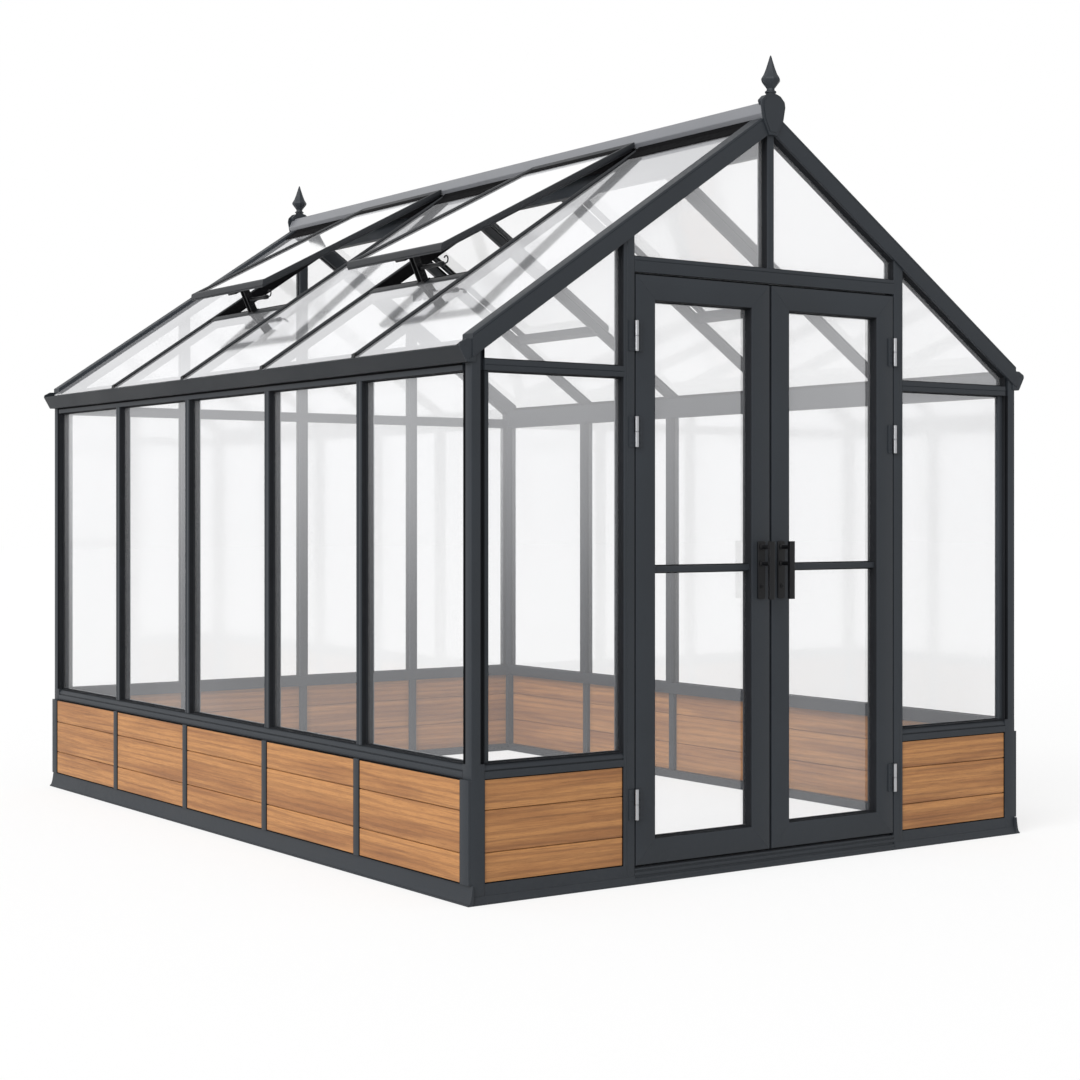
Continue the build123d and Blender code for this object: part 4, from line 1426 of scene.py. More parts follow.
# ---- Sills ----
@dataclass
class Sills(Assembly):
    """Sill rails with a weathered upper edge over a groove."""

    step_height: float = 22.0
    groove: float = 6.0
    lean: float = 9.0

    def build(self) -> None:
        """Builds the sills of the four walls."""
        plan, sills = self.plan, Builder()
        low, high, size = plan.sill_bottom, plan.sill_top, plan.post
        step = low + self.step_height
        shape = outline(
            (0, low, 1.5), (0, step, 1.0), (self.groove, step + 0.8), (self.groove, step + 4.0),
            (1.2, step + 5.0, 0.8), (self.lean, high - 1, 2.0), (self.lean + 8, high),
            (size - 2, high), (size, high - 2, 1.5), (size, low, 1.5),
        )
        for wall, ends in plan.rails():
            sills.run(shape, wall, ends)
        sills.piece("sills_weathered", self.coats.frame, "sill_rails")


# ---- Glazing bars and the trim of each wall pane ----
@dataclass
class WallGlazing(Assembly):
    """Wall bars, back uprights, and the seals and beads round each wall pane; the seals line the reveals
    dark, partly as painted shade.
    """

    glass_depth: float = 24.0
    bead: float = 3.0
    king_half: float = 15.0

    def panes(self) -> list[Pane]:
        """The wall openings.

        Returns:
            The openings of the side walls, then those of the gables.
        """
        plan, half = self.plan, self.plan.bar_width / 2
        low, high = plan.sill_top, plan.eave
        bays = [plan.bay_edges(bay, half) for bay in range(BAYS)]
        made = [plan.side_wall(side).window(bay, low, high) for side in SIDES for bay in bays]
        for end, edges in ((-1, plan.front_edges()), (1, plan.back_edges(half))):
            made += [plan.gable(end).window(edge, low, high) for edge in edges]
        for end, near, far, low in (
            (-1, plan.jamb_out, plan.inner, plan.cross_top),
            (-1, self.king_half, plan.jamb_in, plan.header_top),
            (1, plan.upright_line + half, plan.inner, plan.cross_top),
            (1, half, plan.upright_line - half, plan.cross_top),
        ):
            top_far, top_near = (plan.roof_z(x, plan.rafter_depth) for x in (far, near))
            for a, b in ((side * near, side * far) for side in SIDES):
                made.append(plan.gable(end).pane((a, low), (b, low), (b, top_far), (a, top_near)))
        return made

    def build(self) -> None:
        """Builds the bars, then the beads and seals of every pane."""
        plan, bars, uprights = self.plan, Builder(), Builder()
        half, size, low = plan.bar_width / 2, plan.post, plan.sill_top
        shape = outline(
            (-half, 0, 2.5), (-1.5, 0), (0, 0.9), (1.5, 0), (half, 0, 2.5), (half, size, 1.5),
            (-half, size, 1.5),
        )
        for side in SIDES:
            one = Builder()
            one.stand(shape, plan.side_wall(side), plan.line(1), (low, plan.eave))
            self.row(bars, one, self.coats.frame)
        bars.piece("wall_bars_capped", self.coats.frame, "wall_bars")
        back = plan.gable(1)
        for x in plan.back_lines:
            uprights.prism(shape, back.upright(x, low), plan.to_rafter(back, x))
        uprights.piece("back_uprights_capped", self.coats.frame, "back_uprights")
        self._trim()

    def _trim(self) -> None:
        """Builds the beads and the seals round every wall pane; the dark lining of each reveal is partly a
        seal and partly painted shade.
        """
        size, beads, seals = self.plan.post, Builder(), Builder()
        face, rear, bead = self.glass_depth, self.glass_depth + GLASS, self.bead
        inner = outline(
            (-0.4, rear + 3), (bead - 1, rear + 3, 0.5), (bead, rear + 6, 1), (bead, size - 0.4, 1.5),
            (-0.4, size - 0.4),
        )
        # The lining darkens the reveal's sides from the face to the glass: a seal at the glass, painted shade
        # on the sides.
        shaded_lining = outline(
            (-0.4, 3), (1.2, 3, 0.6), (2.2, face - 5), (5.5, face - 2, 0.8), (5.5, face - 0.1),
            (-0.4, face - 0.1),
        )
        inside = outline(
            (-0.4, rear + 0.1), (bead + 2, rear + 0.1), (bead + 1, rear + 3), (-0.4, rear + 3)
        )
        for pane in self.panes():
            beads.surround(pane, inner)
            seals.surround(pane, inside)
            seals.surround(pane, shaded_lining)
        beads.piece("pane_beads", self.coats.frame)
        seals.piece("pane_seals", self.coats.gasket_and_shade)


# ---- Eaves ----
@dataclass
class Eaves(Assembly):
    """Eave beams, gutters with rolled rims, and their end caps."""

    beam_depth: float = 52.0
    bottom_reach: float = 20.0
    wall: float = 3.0
    cap: float = 5.0
    cap_crown: float = 0.96

    def build(self) -> None:
        """Builds the beams, gutters and caps."""
        plan, beams, gutters, seals = self.plan, Builder(), Builder(), Builder()
        top, foot = plan.roof_z(plan.half, self.beam_depth), plan.eave
        beam = outline(
            (0, foot, 1.5), (0, top), (plan.post, plan.roof_z(plan.inner, self.beam_depth)),
            (plan.post, foot, 1.5), (12, foot), (11, foot + 1.5), (10, foot),
        )
        reach, base, wall = plan.gutter_reach, self.bottom_reach, self.wall
        low, high = plan.gutter_bottom, plan.gutter_top
        trough = outline(
            (0, low), (-base, low, 3), (-reach + 1.6, high - 5, 1), (-reach, high - 4, 1),
            (-reach, high, 1), (-reach + 7, high, 1), (-reach + 7, high - 3), (-reach + 4.2, high - 4),
            (-base + wall, low + wall, 2), (0, low + wall),
        )
        closer = outline(
            (8, top - 4), (8, plan.roof_z(plan.half - 8, 18.6)), (14, plan.roof_z(plan.half - 14, 18.6)),
            (14, top),
        )
        # A thin black strip under the gutter against the wall: painted shadow line between gutter and eave
        # beam.
        gasket_and_shade = slab((-2.0, 0.5), (low - 6, low + 0.5), 0.8)
        for side in SIDES:
            face = plan.side_wall(side)
            beams.run(beam, face, plan.between_posts)
            seals.run(closer, face, plan.between_posts)
            seals.run(gasket_and_shade, face, plan.between_posts)
            gutters.run(trough, face, (plan.front, plan.back))
        beams.piece("eave_beams_rounded", self.coats.frame, "eave_beams")
        gutters.piece("gutters_rimmed", self.coats.gutter, "gutter_faces", "gutter_floors")
        seals.piece("eave_closers", self.coats.rubber)
        self._caps()

    def _caps(self) -> None:
        """Builds the end caps with their screws."""
        plan, caps, points = self.plan, Builder(), []
        low, high, reach = plan.gutter_bottom, plan.gutter_top, plan.gutter_reach
        shape = outline(
            (14, low + 1, 2), (-self.bottom_reach, low, 4), (-reach, high - 2, 4),
            (-reach + 2, high + 8, 4), (-22, high + 21, 4), (4, high + 22, 3), (14, high - 6, 2),
        )
        for side in SIDES:
            for end in SIDES:
                face, y = plan.side_wall(side), plan.gable(end).face
                edge = y + end * self.cap

                def crown(d: float, z: float) -> Vector:
                    """The cap's outer face, a little smaller than its body."""
                    return face.point(edge, d * self.cap_crown - 0.7, low + 1.5 + (z - low) * self.cap_crown)

                caps.prism(shape, face.level(y - end * 1.0), face.level(edge - end * 1.2), crown)
                for depth, height in ((-9, low + 13), (-27, high + 3)):
                    points.append((face.point(edge, depth, height), TOWARDS_DOORS * -end))
        caps.take(self.repeats.at_points(points, screw_head(3.2, 1.2), self.coats.frame))
        caps.piece("gutter_caps", self.coats.frame, "gutter_end_caps")


# ---- Gables ----
@dataclass
class Gables(Assembly):
    """Cross-rails, door jambs, header, king post and rafters."""

    king_width: float = 30.0
    groove: float = 1.6
    header_line: float = 12.0
    jamb_line: float = 13.0

    def _grooved(self, low: float, high: float, line: float) -> Section:
        """A level member (depth, height) with a groove along its face at a height."""
        size, g = self.plan.post, self.groove
        return outline(
            (0, low, 1.5), (0, line - g), (g, line), (0, line + g), (0, high, 1.5), (size, high, 1.5),
            (size, low, 1.5),
        )

    def build(self) -> None:
        """Builds the members of both gables."""
        plan, coat = self.plan, self.coats.frame
        rails, jamb, header, king = Builder(), Builder(), Builder(), Builder()
        front, low, high = plan.gable(-1), plan.eave, plan.cross_top
        rail = self._grooved(low, high, (low + high) / 2)
        for end, edges in ((-1, plan.front_edges()), (1, plan.back_edges(plan.bar_width / 2))):
            for edge in edges:
                rails.run(rail, plan.gable(end), edge)
        rails.piece("cross_rails_grooved", coat, "gable_cross_rails")

        half, size, g = (plan.jamb_out - plan.jamb_in) / 2, plan.post, self.groove
        line = half - self.jamb_line
        shape = outline(
            (-half, 0, 2), (line - g, 0), (line, g), (line + g, 0), (half, 0, 2), (half, size, 1.5),
            (-half, size, 1.5),
        )
        for side in SIDES:
            x = side * plan.upright_line
            jamb.prism(
                shape if side > 0 else shape.mirrored(), front.upright(x, 0), plan.to_rafter(front, x)
            )
        jamb.piece("door_jambs_grooved", coat, "door_jambs")

        low, high = plan.header_bottom, plan.header_top
        header.run(self._grooved(low, high, high - self.header_line), front, (-plan.jamb_in, plan.jamb_in))
        header.piece("door_header_grooved", coat, "door_header")

        half = self.king_width / 2
        shape = slab((-half, half), (0, size), 2.5)
        king.prism(shape, front.upright(0, plan.header_top), plan.to_rafter(front, 0))
        king.piece("king_post_rounded", coat, "king_post")
        self._rafters()

    def _rafters(self) -> None:
        """Builds the rafters, cut level under the ridge beam."""
        plan, rafters = self.plan, Builder()
        deep, proud, top = plan.rafter_depth, plan.rafter_proud, plan.ridge_bottom
        shape = outline(
            (-proud, 0, 3), (plan.post, 0, 1.5), (plan.post, deep, 1.5), (-proud, deep, 2),
            (-proud, 10), (-proud + 1.3, 8.7), (-proud, 7.4),
        )
        foot_z = plan.roof_z(0.5, deep)
        for end in SIDES:
            wall = plan.gable(end)
            for side in SIDES:

                def at(out: float) -> Place:
                    """Where the section (inwards, depth) lies on a plumb cut."""
                    return lambda v, d: wall.point(side * out, v, plan.roof_z(out, d))

                def head(v: float, d: float) -> Vector:
                    """The head, level under the ridge beam."""
                    return wall.point(side * 0.5, v, top - (top - foot_z) * d / deep)

                rafters.prism(shape, at(plan.half), at(plan.ridge_half), head)
        rafters.piece("rafters_rounded", self.coats.frame, "gable_rafters")


# ---- Ridge ----
@dataclass
class Ridge(Assembly):
    """Ridge beam with leaning upper faces, over the spine."""

    lower_face: float = 17.0
    undercut: float = 9.0
    top_half: float = 31.0
    head_strip: float = 44.0
    spine_drop: float = 118.0
    bar_cap: float = 9.5

    def build(self) -> None:
        """Builds the beam and the spine."""
        plan, beam, spine = self.plan, Builder(), Builder()
        half, low = plan.ridge_half, plan.ridge_bottom
        edge, proud = low + self.lower_face, plan.rafter_proud
        right = [
            (half - self.undercut, low), (half, edge, 1.5), (half - 1, edge + 4, 2),
            (self.top_half, plan.ridge_top, 7),
        ]

        def at(y: float) -> Place:
            """Where a section (x, z) lies at one Y."""
            return lambda x, z: Vector((x, y, z))

        beam.prism(outline(*both_sides(right)), at(plan.front - proud), at(plan.back + proud))
        # The beam's light coat is a painted highlight from above.
        beam.piece("ridge_beam_leaned", self.coats.ridge, "ridge_beam")
        self._heads()
        shape = slab((-plan.spine_half, plan.spine_half), (low - self.spine_drop, low), 3)
        spine.prism(shape, *[at(y) for y in plan.between_posts])
        spine.piece("ridge_spine_rounded", self.coats.frame, "ridge_spine")

    def _heads(self) -> None:
        """Builds the strips over the panes' heads and the black seam under the ridge beam, partly a seal and
        partly painted shade under the beam.
        """
        plan, strips, seals = self.plan, Builder(), Builder()
        back, start = plan.ridge_half - 8, plan.ridge_half + 3
        end = start + self.head_strip
        strip = outline((start, 8, 1.5), (end, 9, 2), (end, 13.7), (start, 13.7))
        # The seam fills the gap under the ridge beam in black: painted shade, partly a seal.
        shade_seam = outline((back, 1), (start + 1, 7), (start + 1, 13.8), (back, 13.8))
        for side in SIDES:
            for bay in range(BAYS):
                edges = plan.bay_edges(bay, self.bar_cap)
                seals.run(shade_seam, plan.slope(side), edges)
                if bay not in VENT_BAYS:
                    strips.run(strip, plan.slope(side), edges)
        strips.piece("glass_head_strips", self.coats.rubber)
        seals.piece("ridge_seams", self.coats.rubber)


# ---- Roof bars ----
@dataclass
class RoofBars(Assembly):
    """Roof bars: a low cap over the glass, a flange under it and a closed tail."""

    cap_half: float = 9.0
    flange_half: float = 13.0
    cap_top: float = 5.0
    crest: float = 3.0
    glass_top: float = 14.0
    bottom: float = 52.0
    tail: float = 22.0

    def build(self) -> None:
        """Builds the bars as a row on each slope, with their seals and tails."""
        plan, bars, tails, seals = self.plan, Builder(), Builder(), Builder()
        cut, end, y = plan.ridge_half + 1, plan.half + plan.overhang, plan.line(1)
        wide, thin, glass, crest = self.cap_half, self.flange_half, self.glass_top, self.crest
        left = [(-wide, glass - 1.2), (-wide, glass - 5, 1.5), (-crest, self.cap_top, 3)]
        cap = outline(*both_sides(left))
        under = glass + GLASS
        flange = slab((-thin, thin), (under + 1.2, self.bottom), 2)
        web = slab((-2.5, 2.5), (glass - 2, under + 3), 0)
        strip = slab((-wide - 1.5, wide + 1.5), (glass - 1.2, glass - 0.1), 0.3)
        block = slab((-wide - 1.6, wide + 1.6), (self.cap_top, self.tail), 2)
        for side in SIDES:
            slope, one, rub, stop = plan.slope(side), Builder(), Builder(), Builder()

            def tapered(u: float, d: float) -> Vector:
                """The flange's end, taken up to the tail's depth."""
                share = (d - under) / (self.bottom - under)
                return slope.point(end, under + (self.tail - under) * max(share, 0.1), y + u)

            one.prism(cap, slope.down(y, cut), slope.down(y, end))
            one.prism(web, slope.down(y, cut - 3), slope.down(y, end))
            one.prism(flange, slope.down(y, plan.spine_half), slope.down(y, plan.half), tapered)
            self.row(bars, one, self.coats.roof_frame)
            rub.prism(strip, slope.down(y, cut), slope.down(y, end - 1))
            self.row(seals, rub, self.coats.rubber)
            stop.prism(block, slope.down(y, end - 9), slope.down(y, end - 0.2))
            self.row(tails, stop, self.coats.black)
        bars.piece("roof_bars_capped", self.coats.roof_frame, "roof_bars")
        seals.piece("roof_bar_seals", self.coats.rubber)
        tails.piece("roof_bar_tails", self.coats.black)


# ---- Vents ----
@dataclass
class RoofVents(Assembly):
    """Roof vents, open on the left slope and closed on the right, and their openers."""

    open_side: int = -1
    angle: float = math.radians(6.5)
    head_gap: float = 0.3
    length: float = 945.0
    depth: float = 26.0
    underside: float = 4.0
    rail: float = 24.0
    side_gap: float = 5.0
    glass_top: float = 8.0
    trimmer: float = 25.0
    trimmer_high: float = 10.0
    trimmer_low: float = 34.0
    trimmer_end: float = 13.0
    head_strip: float = 46.0
    mitre_gap: float = 0.5
    opener_shift: float = 45.0
    arm: float = 25.0
    arm_thickness: float = 6.0
    arm_spread: float = 20.0
    plate: float = 78.0
    plate_thickness: float = 8.0
    plate_width: float = 60.0
    tube: float = 9.0
    tube_length: float = 150.0
    foot: float = 40.0
    foot_spread: float = 28.0
    foot_depth: float = 30.0
    bolt_rise: float = 22.32
    bolt_lean: float = 0.42
    hook_bend: float = 13.0
    hook_rod: float = 2.6
    hook_lead: float = 18.0
    hook_turn: float = math.radians(24.0)

    @property
    def hinge_out(self) -> float:
        """The open vents' hinge line, level from the middle of the ridge."""
        swing = (self.depth - self.underside) / ACROSS * math.sin(self.angle)
        return self.plan.ridge_half + self.head_gap + swing

    def build(self) -> None:
        """Builds the trimmers, the vents and the openers."""
        plan, frames, seals, trimmers = self.plan, Builder(), Builder(), Builder()
        top, rail, under = self.underside - self.depth, self.rail, self.underside
        shape = outline(
            (0, top, 2), (rail - 10, top, 1.5), (rail - 5, top + 4, 1.5), (rail, top + 6, 1),
            (rail, under, 1.5), (4, under, 1), (4, under - 6), (0, under - 8, 1),
        )
        face = top + self.glass_top
        rear, inner = face + GLASS, rail + 3
        lip = outline(
            (rail - 1, top + 5), (inner, face - 0.8, 0.6), (inner, face - 0.1), (rail - 1, face - 0.1)
        )
        tuck = outline(
            (rail - 1, rear + 0.1), (inner, rear + 0.1), (rail + 1, rear + 4), (rail - 1, rear + 4)
        )
        far, high, low = plan.trimmer_far, self.trimmer_high, self.trimmer_low
        near = far - self.trimmer
        beam = outline(
            (near, high, 2), (far - 8, high, 1), (far - 7, high + 1), (far - 6, high), (far, high, 2),
            (far, low, 1.5), (near, low, 1.5),
        )
        for side in SIDES:
            slope, is_open = plan.slope(side), side == self.open_side
            head = self.hinge_out if is_open else plan.ridge_half + self.head_gap
            vent = RoofPlane(side, plan.apex, self.angle if is_open else 0.0, head)
            start = head + (rail - 1) * ACROSS
            strip = slab((start, start + self.head_strip * ACROSS), (top + 5, top + 7.7), 1)
            for bay in VENT_BAYS:
                y = (plan.line(bay) + self.side_gap, plan.line(bay + 1) - self.side_gap)
                pane = vent.pane(y, (head, head + self.length * ACROSS))
                frames.surround(pane, shape, joint=self.mitre_gap)
                seals.surround(pane, lip)
                seals.surround(pane, tuck)
                seals.run(strip, vent, (y[0] + inner + 0.2, y[1] - inner - 0.2))
                ends = plan.bay_edges(bay, self.trimmer_end)
                trimmers.run(beam, slope, ends)
                # Only the open vents' openings get this black lining: painted shade inside the opened gap.
                if is_open:
                    seals.surround(slope.pane(ends, (plan.ridge_half, near)), slab((-0.3, 2.2), (9, 51), 0.8))
        coat = self.coats.roof_frame
        frames.piece("vent_frames_mitred", coat, "vent_side_rails", "vent_end_rails")
        seals.piece("vent_seals", self.coats.rubber)
        trimmers.piece("vent_trimmers_rounded", coat, "vent_trimmers")
        self._openers()

    def _on_vent(self, reach: float, depth: float) -> tuple[float, float]:
        """A point of an open vent as (out, height), from how far down and how deep it is."""
        angle = PITCH - self.angle
        out = self.hinge_out + reach * math.cos(angle) - depth * math.sin(angle)
        drop = reach * math.sin(angle) + depth * math.cos(angle)
        return (out, self.plan.roof_z(self.hinge_out) - drop)

    def _on_slope(self, out: float, depth: float) -> tuple[float, float]:
        """A point of the slope as (out, height)."""
        return (out, self.plan.roof_z(out, depth))

    def _openers(self) -> None:
        """Builds the arms, plates, cylinders and feet of every opener."""
        plan, side, arms, tubes, bolts = self.plan, self.open_side, Builder(), Builder(), []
        end, under = self.length - 2, self.underside + self.plate_thickness
        start, above = end - self.plate, self.underside
        plate = outline(
            (*self._on_vent(start, above), 1), (*self._on_vent(end, above), 1),
            (*self._on_vent(end, under), 3), (*self._on_vent(start, under), 3),
        )
        far, high, low = plan.trimmer_far - 1.0, self.trimmer_high, self.trimmer_low
        near = far - self.trimmer + 2.0
        feet = [self._on_slope(near, high), self._on_slope(far, high)]
        arm = outline(*feet, self._on_vent(start + 5 + self.arm, under), self._on_vent(start + 3, under))
        ankle = outline(
            (*self._on_slope(near - 1, high), 1), (*self._on_slope(far + 1, high), 1),
            (*self._on_slope(far + 1, high - 4), 1.5), (*self._on_slope(near - 1, high - 4), 1.5),
        )
        feet += [self._on_vent(start, under), self._on_vent(start + self.arm, under)]
        x, z = (sum(values) / len(feet) for values in zip(*feet))
        foot = outline(
            (near + 1, low), (far - 1, low), (far - 1, low + self.foot_depth, 5),
            (near + 4, low + self.foot_depth, 5),
        )
        size, tube = self.tube_length, self.tube
        slim = tube * 0.82
        profile = [(0, 0), (tube * 0.8, 0), (tube, 3), (tube, 20), (slim, 23), (slim, size - 34)]
        profile += [(tube, size - 31), (tube, size - 6), (tube * 0.6, size), (0, size)]
        pin = [(0, 0), (6, 0), (6, self.arm_spread), (0, self.arm_spread)]
        first = -self.arm_spread / 2 - self.arm_thickness
        half = self.plate_width / 2
        for bay in VENT_BAYS:
            middle = (plan.line(bay) + plan.line(bay + 1)) / 2 - self.opener_shift

            def at(y: float) -> Place:
                """Where a section (out, height) lies at one Y from the opener's middle."""
                return lambda u, v: Vector((side * u, middle + y, v))

            arms.prism(plate, at(-half), at(half))
            arms.prism(ankle, at(-half + 4), at(half - 4))
            for way in SIDES:
                inner = way * self.arm_spread / 2
                outer = inner + way * self.arm_thickness
                arms.prism(arm, at(inner), at(outer))
                for rise in (-self.bolt_rise, 0.0, self.bolt_rise):
                    spot = at(outer)(x + rise * self.bolt_lean, z + rise)
                    bolts.append((spot, TOWARDS_DOORS * -way))
                start = middle + way * self.foot_spread / 2
                tubes.run(foot, plan.slope(side), (start, start + way * self.foot))
            tubes.turned(profile, at(first)(x, z), TOWARDS_DOORS)
            tubes.turned(pin, at(-self.arm_spread / 2)(x, z), -TOWARDS_DOORS, sides=14)
            self._hook(tubes, at(first - size + 4)(x, z))
        arms.take(self.repeats.at_points(bolts, screw_head(6.0, 4.0), self.coats.black))
        arms.piece("opener_arms", self.coats.black, "vent_opener_arms")
        tubes.piece("opener_cylinders", self.coats.black, "vent_opener_cylinders")

    def _hook(self, into: Builder, start: Vector, steps: int = 11, sides: int = 8) -> None:
        """Draws the bent rod that leaves the end of a cylinder and turns up.

        Args:
            into: Where it is drawn.
            start: Where it leaves the cylinder.
            steps: Stations along its bend.
            sides: Facets round it.
        """
        stations = [(Vector((0, 0, 0)), 0.0)]
        for turn in (self.hook_turn * step for step in range(steps)):
            along = -self.hook_lead - self.hook_bend * math.sin(turn)
            stations.append((Vector((0, along, self.hook_bend * (1 - math.cos(turn)))), turn))
        rings = []
        for spot, turn in stations:
            out = Vector((0, -math.sin(turn), -math.cos(turn))) * self.hook_rod
            across = Vector((self.hook_rod, 0, 0))
            angles = [math.tau * k / sides for k in range(sides)]
            rings.append([start + spot + out * math.cos(t) + across * math.sin(t) for t in angles])
        into.loft(rings, [True] * sides)


# ---- Finials ----
@dataclass
class Finials(Assembly):
    """Eight-sided spears on shaped end plates."""

    plate: float = 8.0
    plate_top: float = 28.0
    plate_half: float = 54.0
    shoulder: float = 14.0
    waist: float = 45.0
    foot_drop: float = 112.0
    foot_half: float = 19.0
    neck: float = 17.0
    height: float = 134.0
    sides: int = 8

    def build(self) -> None:
        """Builds both finials."""
        plan, made, neck = self.plan, Builder(), self.neck
        top, low = plan.ridge_top + self.plate_top, plan.ridge_top - 8
        right = [
            (neck - 4, top, 3), (neck + 15, top - 6, 12), (self.plate_half - 3, top - 24, 10),
            (self.plate_half, plan.ridge_top - self.shoulder, 6), (self.waist, plan.ridge_bottom, 3),
            (self.foot_half, plan.ridge_top - self.foot_drop, 3),
        ]
        shape = outline(*both_sides(right), steps=4)
        middle = (right[0][1] + right[-1][1]) / 2
        rib = [(x * 0.8, middle + (z - middle) * 0.86, r * 0.8) for x, z, r in right]
        raised = outline(*both_sides(rib), steps=4)
        seat = outline(*both_sides([(-38, low, 1), (-44, low + 14, 6), (-26, top - 5, 12), (-10, top, 3)]))
        profile = [(neck, 0), (neck, 3), (neck + 3.5, 5), (neck + 3.5, 9), (neck - 2, 12), (neck - 3, 19)]
        profile += [(20, 27), (27, 36), (33, 44), (34, 48), (34, 51), (31.5, 56), (25, 66), (17, 86)]
        profile += [(9, 110), (3.2, 129), (0, self.height)]
        face = -plan.rafter_proud
        front = face - self.plate
        middle = neck + front
        for wall in (plan.gable(end) for end in SIDES):
            for section, start, stop in (
                (shape, face, front + 2), (raised, front + 3, front), (seat, front + 4, middle + neck)
            ):
                made.prism(section, wall.flat(0, start), wall.flat(0, stop))
            made.turned(profile, wall.point(0, middle, top), UP, self.sides, smooth=False)
        made.piece("finials_spear", self.coats.frame, "finials")


# ---- Doors ----
@dataclass
class DoorLeaf(Assembly):
    """One leaf with its beads, seals, handle and hinge halves."""

    side: int
    stile: float = 80.0
    thickness: float = 44.0
    glass_depth: float = 30.0
    mid_bar: float = 20.0
    mid_depth: tuple[float, float] = (12.0, 36.0)
    mitre_gap: float = 0.5
    fin_reach: float = 6.5
    hinges: tuple[float, ...] = (258.0, 1466.0, 1777.0)
    hinge_length: float = 100.0
    knuckle: float = 7.0
    pin_gap: float = 2.5
    handle_z: float = 1009.0
    handle_length: float = 196.0
    reach: float = 62.0

    @property
    def name(self) -> str:
        """The leaf's name, as in the record."""
        return "left_door" if self.side < 0 else "right_door"

    @property
    def body(self) -> Body:
        """The body that the leaf's pieces ride on."""
        return Body.LEFT_DOOR if self.side < 0 else Body.RIGHT_DOOR

    def _outline(self) -> tuple[float, float, float, float]:
        """The leaf's near and far edge from the middle, its foot and its head."""
        low, high = (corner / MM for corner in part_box(f"{self.name}_stiles"))
        return (*sorted((abs(low.x), abs(high.x))), low.z, high.z)

    def build(self) -> None:
        """Builds the leaf and everything on it."""
        wall, frame, side = self.plan.gable(-1), Builder(), self.side
        near, far, foot, head = self._outline()
        leaf = wall.window((side * near, side * far), foot, head)
        deep, stile, face = self.thickness, self.stile, self.glass_depth
        shape = outline(
            (0, 0, 1.5), (stile, 0, 2), (stile, face + 5), (stile + 5, face + 5, 1),
            (stile + 5, deep - 2, 1.5), (stile, deep, 1), (0, deep, 1.5),
        )
        frame.surround(leaf, shape, joint=self.mitre_gap)
        middle, half = (foot + head) / 2, self.mid_bar / 2
        between = (side * (near + stile), side * (far - stile))
        frame.run(slab(self.mid_depth, (middle - half, middle + half), 2.5), wall, between)
        nodes = (f"{self.name}_stiles", f"{self.name}_rails")
        frame.piece(f"{self.name}_frame", self.coats.frame, *nodes, body=self.body)
        self._seals(leaf, between)
        self._handle(wall, near)
        self._hinge_halves(wall)

    def _seals(self, leaf: Pane, between: tuple[float, float]) -> None:
        """Builds the pane's seals and the fins round the leaf.

        Args:
            leaf: The leaf's outline.
            between: X interval of the pane.
        """
        wall, seals, side = self.plan.gable(-1), Builder(), self.side
        near, far, foot, head = self._outline()
        stile, face, rear = self.stile, self.glass_depth, self.glass_depth + GLASS
        middle, half = (foot + head) / 2, self.mid_bar / 2
        # The lip lines the pane's reveal in dark grey: a seal at the glass, painted shade on the reveal's
        # sides.
        lip = outline(
            (stile - 0.4, 2.5), (stile + 1.2, 2.5, 0.6), (stile + 2, face - 5), (stile + 5, face - 2, 0.8),
            (stile + 5, face - 0.1), (stile - 0.4, face - 0.1),
        )
        inner = outline(
            (stile - 0.4, rear + 0.1), (stile + 7, rear + 0.1), (stile + 6, rear + 1), (stile - 0.4, rear + 1)
        )
        seals.surround(leaf, lip)
        seals.surround(leaf, inner)
        for heights in ((middle - half - 4, middle - half), (middle + half, middle + half + 4)):
            for depth in ((face - 1.5, face - 0.1), (rear + 0.1, rear + 1.5)):
                seals.run(slab(depth, heights, 0), wall, between)
        depth = (12, 15) if side < 0 else (18, 21)
        fin = slab(span(side * (near + 0.5), -side * 0.8), depth, 0.6)
        seals.stand(fin, wall, 0, (foot - self.fin_reach + 0.2, head + self.fin_reach - 0.2))
        for heights in ((foot - self.fin_reach, foot + 0.5), (head - 0.5, head + self.fin_reach)):
            seals.run(slab((14, 18), heights, 0.6), wall, (side * near, side * far))
        seals.piece(f"{self.name}_seals", self.coats.gasket_and_shade, body=self.body)

    def _handle(self, wall: Wall, near: float) -> None:
        """Builds the pull handle with its plate and keyhole.

        Args:
            wall: The front gable.
            near: The leaf's meeting edge.
        """
        x, z, handle = self.side * (near + self.stile / 2), self.handle_z, Builder()
        low, high = z - self.handle_length / 2, z + self.handle_length / 2
        plate = slab((-16, 16), (low, high), 5)
        inset = slab((-14.6, 14.6), (low + 1.4, high - 1.4), 4)
        layers = ((plate, 0), (plate, -4.6), (inset, -6))
        rings = [[wall.flat(x, depth)(u, v) for u, v in layer.points] for layer, depth in layers]
        handle.loft(rings, plate.curved)
        back, front = -46, -self.reach
        grip = outline((-11, back, 2.5), (11, back, 2.5), (11, front, 4), (-11, front, 4), steps=4)
        handle.stand(grip, wall, x, (low, high))
        post = [(0, 0), (10, 0), (10, 2.5), (7, 5), (7, 36), (9, 38), (9, 41), (0, 41)]
        ring = [(0, 0), (8.5, 0), (8.5, 1.6), (7, 2.6), (5.4, 2.6), (5.0, 1.2), (0, 1.2)]
        for profile, lift in ((post, 78.0), (post, 22.0), (ring, -55.0)):
            handle.turned(profile, wall.point(x, -5.5, z + lift), TOWARDS_DOORS)
        handle.prism(slab((-1.1, 1.1), (z - 61, z - 52), 0.6), wall.flat(x, -6.4), wall.flat(x, -7.4))
        handle.piece(f"{self.name}_pull", self.coats.black, f"{self.name}_handle", body=self.body)

